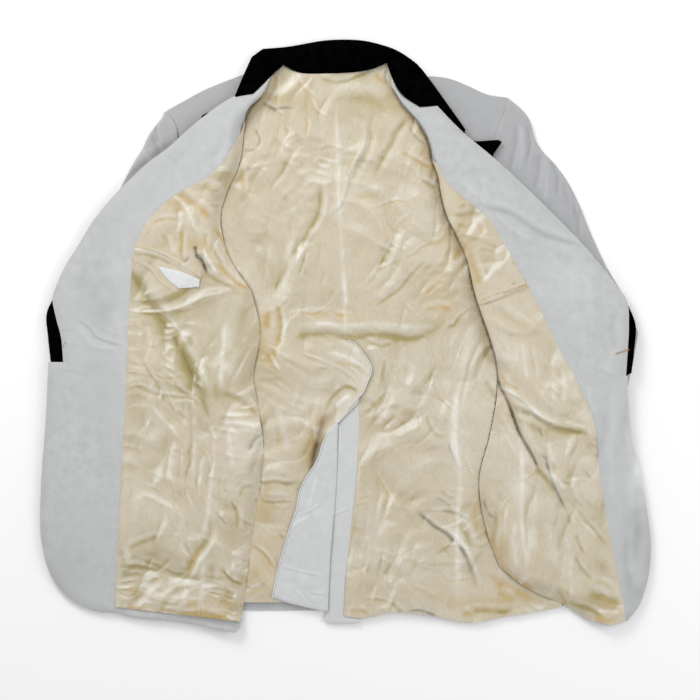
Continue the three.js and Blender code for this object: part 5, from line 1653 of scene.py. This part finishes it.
# dark rows are painted shade in creases and under the fronts' edges; light rows painted highlight
SLEEVE_FOLDS = {
    "left": [
        ([(-268, 282), (-262, 262), (-252, 240)], 5, -2, DARK, 0.25, 1),
        ([(-285, 262), (-272, 246), (-262, 226)], 6, 1.6),
        ([(-300, 205), (-285, 215), (-268, 232)], 6, -1.4, DARK, 0.15),
        ([(-318, 200), (-296, 222), (-262, 250), (-236, 270)], 8, -1, DARK, 0.35),
        ([(-262, 300), (-262, 284), (-256, 262)], 3, -1.4, DARK, 0.35),
    ],
    "right": [
        ([(234, 297), (231, 260), (222, 222)], 5, -2.2, DARK, 0.22, 1),
        ([(266, 253), (262, 220), (256, 198)], 5, -2, DARK, 0.2, 1),
        ([(318, 176), (318, 136)], 4, -1.6, DARK, 0.2),
        ([(240, 290), (242, 255), (236, 225)], 6, 1.8, LIGHT, 0.2),
        ([(275, 245), (276, 215), (272, 180)], 7, 1.6, LIGHT, 0.15),
        ([(290, 232), (300, 200), (306, 170)], 6, -1.4, DARK, 0.12),
        ([(248, 292), (252, 262), (246, 236)], 3, -1.6, DARK, 0.3),
        ([(280, 246), (290, 214), (288, 190)], 3.5, -1.8, DARK, 0.3),
        ([(304, 212), (312, 186), (314, 160)], 3, -1.4, DARK, 0.25),
    ],
}
for side in SIDES:
    lay_sleeve(side)

# %% [markdown]
# ## The fronts
# Each front has an upper leaf, which carries the facing and lining, and a narrow lower leaf
# folded back beneath it. They are one piece of cloth and meet at the fold.
# %% Fronts
RIM_SHOWS = 14.0  # the front's shell can be seen this near its outline
SHELL_ROLL = {"radius": 3.4, "fall": 1.2}
FOLD_MEETS = 9.0  # the two leaves come together this near the fold
LEAF_APART = 2.6  # the lower leaf stays this far under the upper one
LEAF_RISE = 1.2  # and rises by this to meet it
LEAF_LOWEST = GROUND + 0.4


def nowhere(x, y):
    return np.zeros(x.shape, dtype=bool)


def behind_fold(side, outline):
    """The outline drawn in at the fold, where the lining rolls over the shell and hides it."""
    near = 1 - ramp(fold_gap(side, outline[:, 0], outline[:, 1]), 3, 9)
    return outline - (outline - grown(outline, -FOLD_HIDES)) * near[:, None]


def lay_front(side):
    node = f"front_{side}"
    upper = behind_fold(side, outline_of(node, 1, max))
    lower = behind_fold(side, outline_of(node, -1, min))
    plan, faces = cut_panel(upper, lambda x, y: edge_gap(upper, x, y) < RIM_SHOWS)
    x, y = plan[:, 0], plan[:, 1]
    gap = edge_gap(upper, x, y)
    turn = fold_gap(side, x, y)
    z = shell_under(side, x, y) - roll(gap, **SHELL_ROLL) * (turn > FOLD_MEETS)
    top = np.column_stack([x, y, z])
    plan, more = cut_panel(lower, nowhere)
    x, y = plan[:, 0], plan[:, 1]
    lid = shell_under(side, x, y) - LEAF_APART
    base = front_base[side](x, y) + WALL["shell"]
    meets = ramp(FOLD_MEETS - fold_gap(side, x, y), 0, 8)
    z = np.maximum(np.minimum(base, lid) + LEAF_RISE * meets, LEAF_LOWEST)
    bottom = np.column_stack([x, y, z])
    points = np.vstack([top, bottom])
    flipped = [tuple(int(i) + len(top) for i in reversed(face)) for face in more]
    tints = np.zeros((len(points), 4))
    # painted shade on the outside-up lower leaf
    tints[len(top):, DARK] = OUTSIDE_SHADE[side]
    piece = new_piece(f"{node}_cloth", points, [*faces, *flipped], shell, WALL["shell"], tints)
    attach(piece, "root")
    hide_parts(node)
    print(f"{piece.name}: {len(piece.data.polygons)} faces, up to {points[:, 2].max():.1f}")


for side in SIDES:
    lay_front(side)
    lay_cloth(f"facing_{side}_cloth", outline_of(f"facing_{side}"), facing_height(side),
              "facing", [f"facing_{side}"])
    lay_cloth(f"front_lining_{side}_cloth", outline_of(f"front_lining_{side}"),
              lining_height(side), "lining", [f"front_lining_{side}"])
lay_cloth("side_lining_left_cloth", outline_of("side_lining_left"), lining_height("left"),
          "lining", ["side_lining_left"])

# %% [markdown]
# ## Velvet
# The lapels are turned under the fronts. Only a strip at the break and a tip at each shoulder
# come out. The collar lies on the neck, with its leaf folded behind it.
# %% Lapels and collar


VELVET_LOWEST = GROUND + 1.0
LAPEL_CLEARS = 2.4  # the turned lapel stays this far under the front's shell
HIGH = 99.0  # above everything: no lid


def own_height(node, bulge, radius, lid=None, softness=8.0):
    top = Relief([node], softness=softness)

    def height(x, y, gap):
        z = top(x, y) + bulge * (1 - (1 - np.clip(gap / radius, 0, 1)) ** 2)
        z = z + 0.35 * drift(x, y, 14, 901) - roll(gap, 3.0, 1.4)
        if lid is not None:
            z = np.minimum(z, lid(x, y))
        return np.maximum(z, VELVET_LOWEST), np.zeros((len(x), 4))
    return height


def loops_by_size(node):
    return [soften(w, FINE) for w in sorted(large_walks(node, 1), key=plan_area, reverse=True)]


def under_front(side):
    def lid(x, y):
        covered = inside_of(front_outlines[side], x, y)
        return np.where(covered, shell_under(side, x, y) - LAPEL_CLEARS, HIGH)
    return lid


for side in SIDES:
    under_loop, band_loop = loops_by_size(f"lapel_{side}")[:2]
    lay_cloth(f"lapel_{side}_turned", under_loop,
              own_height(f"lapel_{side}", 0.5, 8.0, lid=under_front(side)),
              "velvet", [f"lapel_{side}"])
    lay_cloth(f"lapel_{side}_band", band_loop, own_height(f"lapel_{side}", 2.2, 6.0),
              "velvet", [f"lapel_{side}"])

lay_cloth("collar_stand", outline_of("collar", 1, max), own_height("collar", 3.0, 9.0),
          "velvet", ["collar"])
lay_cloth("collar_leaf", outline_of("collar", 1, min),
          own_height("collar", 0.5, 6.0, softness=4.0), "velvet", ["collar"])

# %% [markdown]
# ## Pockets and label
# The inside pockets are slits with a lip of lining along each side. The tape label below the left
# one is bare.
# %% Pockets and label
LIP_RISE = 0.3  # over the lining
LABEL_RISE = 0.9


def on_lining(side, rise):
    def height(x, y, gap):
        z, _ = front_height(side, x, y, np.full(x.shape, 8.0), calm=False)
        tints = np.zeros((len(x), 4))
        # tan along the edge of the lip, stronger in some places than others
        uneven_tint = 0.7 + 0.5 * drift(x, y, 9, 31)
        tints[:, TAN] = 0.8 * bell(gap, 1.0) * uneven_tint
        return z + rise + 0.3 * np.sqrt(np.clip(gap / 3.0, 0, 1)), np.clip(tints, 0, 1)
    return height


for side in SIDES:
    for which in ("upper", "lower"):
        node = f"inner_pocket_lip_{which}_{side}"
        lay_cloth(f"pocket_lip_{which}_{side}", outline_of(node), on_lining(side, LIP_RISE),
                  "lining", [node])

lay_cloth("label_tape", outline_of("care_label"), on_lining("left", LABEL_RISE), "label",
          ["care_label"])

# %% [markdown]
# ## Edges and threads
# A pale piping runs round the top of the vent and down its turned edge. Rows of stitches are one
# short thread repeated along a line: each sits on the cloth, and its length varies a little.
# %% Piping and stitches


def on_path(path, height, step=2.0):
    """Points on a cloth, along a line in plan."""
    line = spline(np.array(path, dtype=float), step)
    far = np.full(len(line), 12.0)
    return np.column_stack([line, height(line[:, 0], line[:, 1], far)[0]])


def tube(name, path, radius, material, sides=6):
    ahead = np.gradient(path, axis=0)
    across = np.column_stack([-ahead[:, 1], ahead[:, 0]]) / np.hypot(ahead[:, 0], ahead[:, 1])[:, None]
    turns = np.linspace(0, 2 * np.pi, sides, endpoint=False)
    rings = [np.column_stack([path[:, :2] + radius * np.cos(t) * across,
                              path[:, 2] + radius * np.sin(t)]) for t in turns]
    points = np.stack(rings, axis=1).reshape(-1, 3)
    faces = [(i * sides + k, (i + 1) * sides + k, (i + 1) * sides + (k + 1) % sides,
              i * sides + (k + 1) % sides) for i in range(len(path) - 1) for k in range(sides)]
    last = (len(path) - 1) * sides
    ends = [tuple(range(sides)), tuple(last + k for k in reversed(range(sides)))]
    piece = new_piece(name, points, faces + ends, material)
    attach(piece, "root")
    print(f"{name}: {len(faces)} faces")


def make_stitch_nodes():
    tree = bpy.data.node_groups.new("Stitches", "GeometryNodeTree")
    face = tree.interface
    face.new_socket("Geometry", in_out="INPUT", socket_type="NodeSocketGeometry")
    for name in ("Pitch", "Length", "Radius"):
        face.new_socket(name, in_out="INPUT", socket_type="NodeSocketFloat")
    face.new_socket("Seed", in_out="INPUT", socket_type="NodeSocketInt")
    face.new_socket("Thread", in_out="INPUT", socket_type="NodeSocketMaterial")
    face.new_socket("Geometry", in_out="OUTPUT", socket_type="NodeSocketGeometry")
    given, result = tree.nodes.new("NodeGroupInput"), tree.nodes.new("NodeGroupOutput")
    curve = tree.nodes.new("GeometryNodeMeshToCurve")
    places = tree.nodes.new("GeometryNodeCurveToPoints")
    places.mode = "LENGTH"
    thread = tree.nodes.new("GeometryNodeMeshCylinder")
    thread.inputs["Vertices"].default_value = 6
    aim = tree.nodes.new("FunctionNodeAlignRotationToVector")
    aim.axis = "Z"
    size = tree.nodes.new("FunctionNodeRandomValue")
    size.data_type = "FLOAT"
    size.inputs[2].default_value = 0.75
    size.inputs[3].default_value = 1.1
    copies = tree.nodes.new("GeometryNodeInstanceOnPoints")
    real = tree.nodes.new("GeometryNodeRealizeInstances")
    paint = tree.nodes.new("GeometryNodeSetMaterial")
    for source, target in (
            (given.outputs["Geometry"], curve.inputs["Mesh"]),
            (curve.outputs["Curve"], places.inputs["Curve"]),
            (given.outputs["Pitch"], places.inputs["Length"]),
            (given.outputs["Length"], thread.inputs["Depth"]),
            (given.outputs["Radius"], thread.inputs["Radius"]),
            (places.outputs["Tangent"], aim.inputs["Vector"]),
            (given.outputs["Seed"], size.inputs["Seed"]),
            (places.outputs["Points"], copies.inputs["Points"]),
            (thread.outputs["Mesh"], copies.inputs["Instance"]),
            (aim.outputs["Rotation"], copies.inputs["Rotation"]),
            (size.outputs[1], copies.inputs["Scale"]),
            (copies.outputs["Instances"], real.inputs["Geometry"]),
            (real.outputs["Geometry"], paint.inputs["Geometry"]),
            (given.outputs["Thread"], paint.inputs["Material"]),
            (paint.outputs["Geometry"], result.inputs["Geometry"])):
        tree.links.new(source, target)
    return tree


STITCHES = make_stitch_nodes()


def stitch(name, lines, pitch, length, radius, thread, seed=5):
    """Rows of stitches along 3-D lines given in millimetres."""
    points, edges = [], []
    for line in lines:
        edges += [(len(points) + i, len(points) + i + 1) for i in range(len(line) - 1)]
        points += (line * MM).tolist()
    mesh = bpy.data.meshes.new(name)
    mesh.from_pydata(points, edges, [])
    rows = bpy.data.objects.new(name, mesh)
    bpy.context.scene.collection.objects.link(rows)
    sewing = rows.modifiers.new("stitches", "NODES")
    sewing.node_group = STITCHES
    values = {"Pitch": pitch * MM, "Length": length * MM, "Radius": radius * MM, "Seed": seed,
              "Thread": thread}
    for item in STITCHES.interface.items_tree:
        if item.in_out == "INPUT" and item.name in values:
            sewing[item.identifier] = values[item.name]
    ready = rows.evaluated_get(bpy.context.evaluated_depsgraph_get())
    made = bpy.data.meshes.new_from_object(ready)
    rows.modifiers.clear()
    rows.data = made
    rows.name = name
    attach(rows, "root")
    print(f"{name}: {len(made.polygons)} faces")


def run_along(outline, other, inset):
    """The part of an outline that lies along another one, drawn in by inset."""
    ring = spline(np.vstack([other, other[:1]]), 1.0)
    near = edge_gap(ring, outline[:, 0], outline[:, 1]) < 1.4
    start = next((i for i in range(len(near)) if near[i] and not near[i - 1]), 0)
    near, line = np.roll(near, -start), np.roll(grown(outline, -inset), -start, axis=0)
    return line[:int(np.argmin(near))] if not near.all() else line


def between(outline, start, end):
    """The shorter way round an outline from near one point to near another."""
    i, j = (int(np.argmin(np.hypot(*(outline - p).T))) for p in (start, end))
    forth = np.roll(outline, -i, axis=0)[:(j - i) % len(outline) + 1]
    back = np.roll(outline[::-1], i + 1, axis=0)[:(i - j) % len(outline) + 1]
    return forth if len(forth) <= len(back) else back


flap_edge = between(outline_of("back_left"), (-25, -130), (-101, -358))
tube("vent_piping", np.vstack([
    on_path(piping_path[:-2:2], lapped(1)) + (0, 0, 0.5),
    on_path(flap_edge[2:], vent_height)]), 0.8, tape)
rows = {}
for side in SIDES:
    seam = run_along(outline_of(f"front_lining_{side}"), outline_of(f"facing_{side}"), 1.7)
    rows[side] = on_path(seam[4:-4:2], lining_height(side)) + (0, 0, 0.1)
stitch("facing_stitches", list(rows.values()), 4.6, 1.5, 0.3, pale_thread)
pocket_lines = [[(184, 43.5), (206, 51), (228, 60), (249, 68.5)], [(216, 59), (230, 64), (246, 71)]]
stitch("pocket_stitches", [on_path(line, on_lining("right", 0.9)) for line in pocket_lines],
       3.4, 2.6, 0.35, brown_thread, seed=9)
hole = [[(369, -24.6), (378, -21.6), (387, -18.4)], [(370, -22.8), (378, -20.0), (386, -17.2)]]
stitch("buttonhole_stitches",
       [on_path(line, facing_height("right"), 1.0) + (0, 0, 0.2) for line in hole],
       1.3, 1.5, 0.5, brown_thread, seed=13)

ends = [[(-385.6, -9.2), (-384.4, -8.4), (-383.6, -9.4)],
        [(-387.2, -14.5), (-386.2, -12.6), (-386.6, -10.8)]]
stitch("loose_threads",
       [on_path(line, facing_height("left"), 0.5) + (0, 0, 0.2) for line in ends],
       1.2, 1.1, 0.35, dark_thread, seed=17)
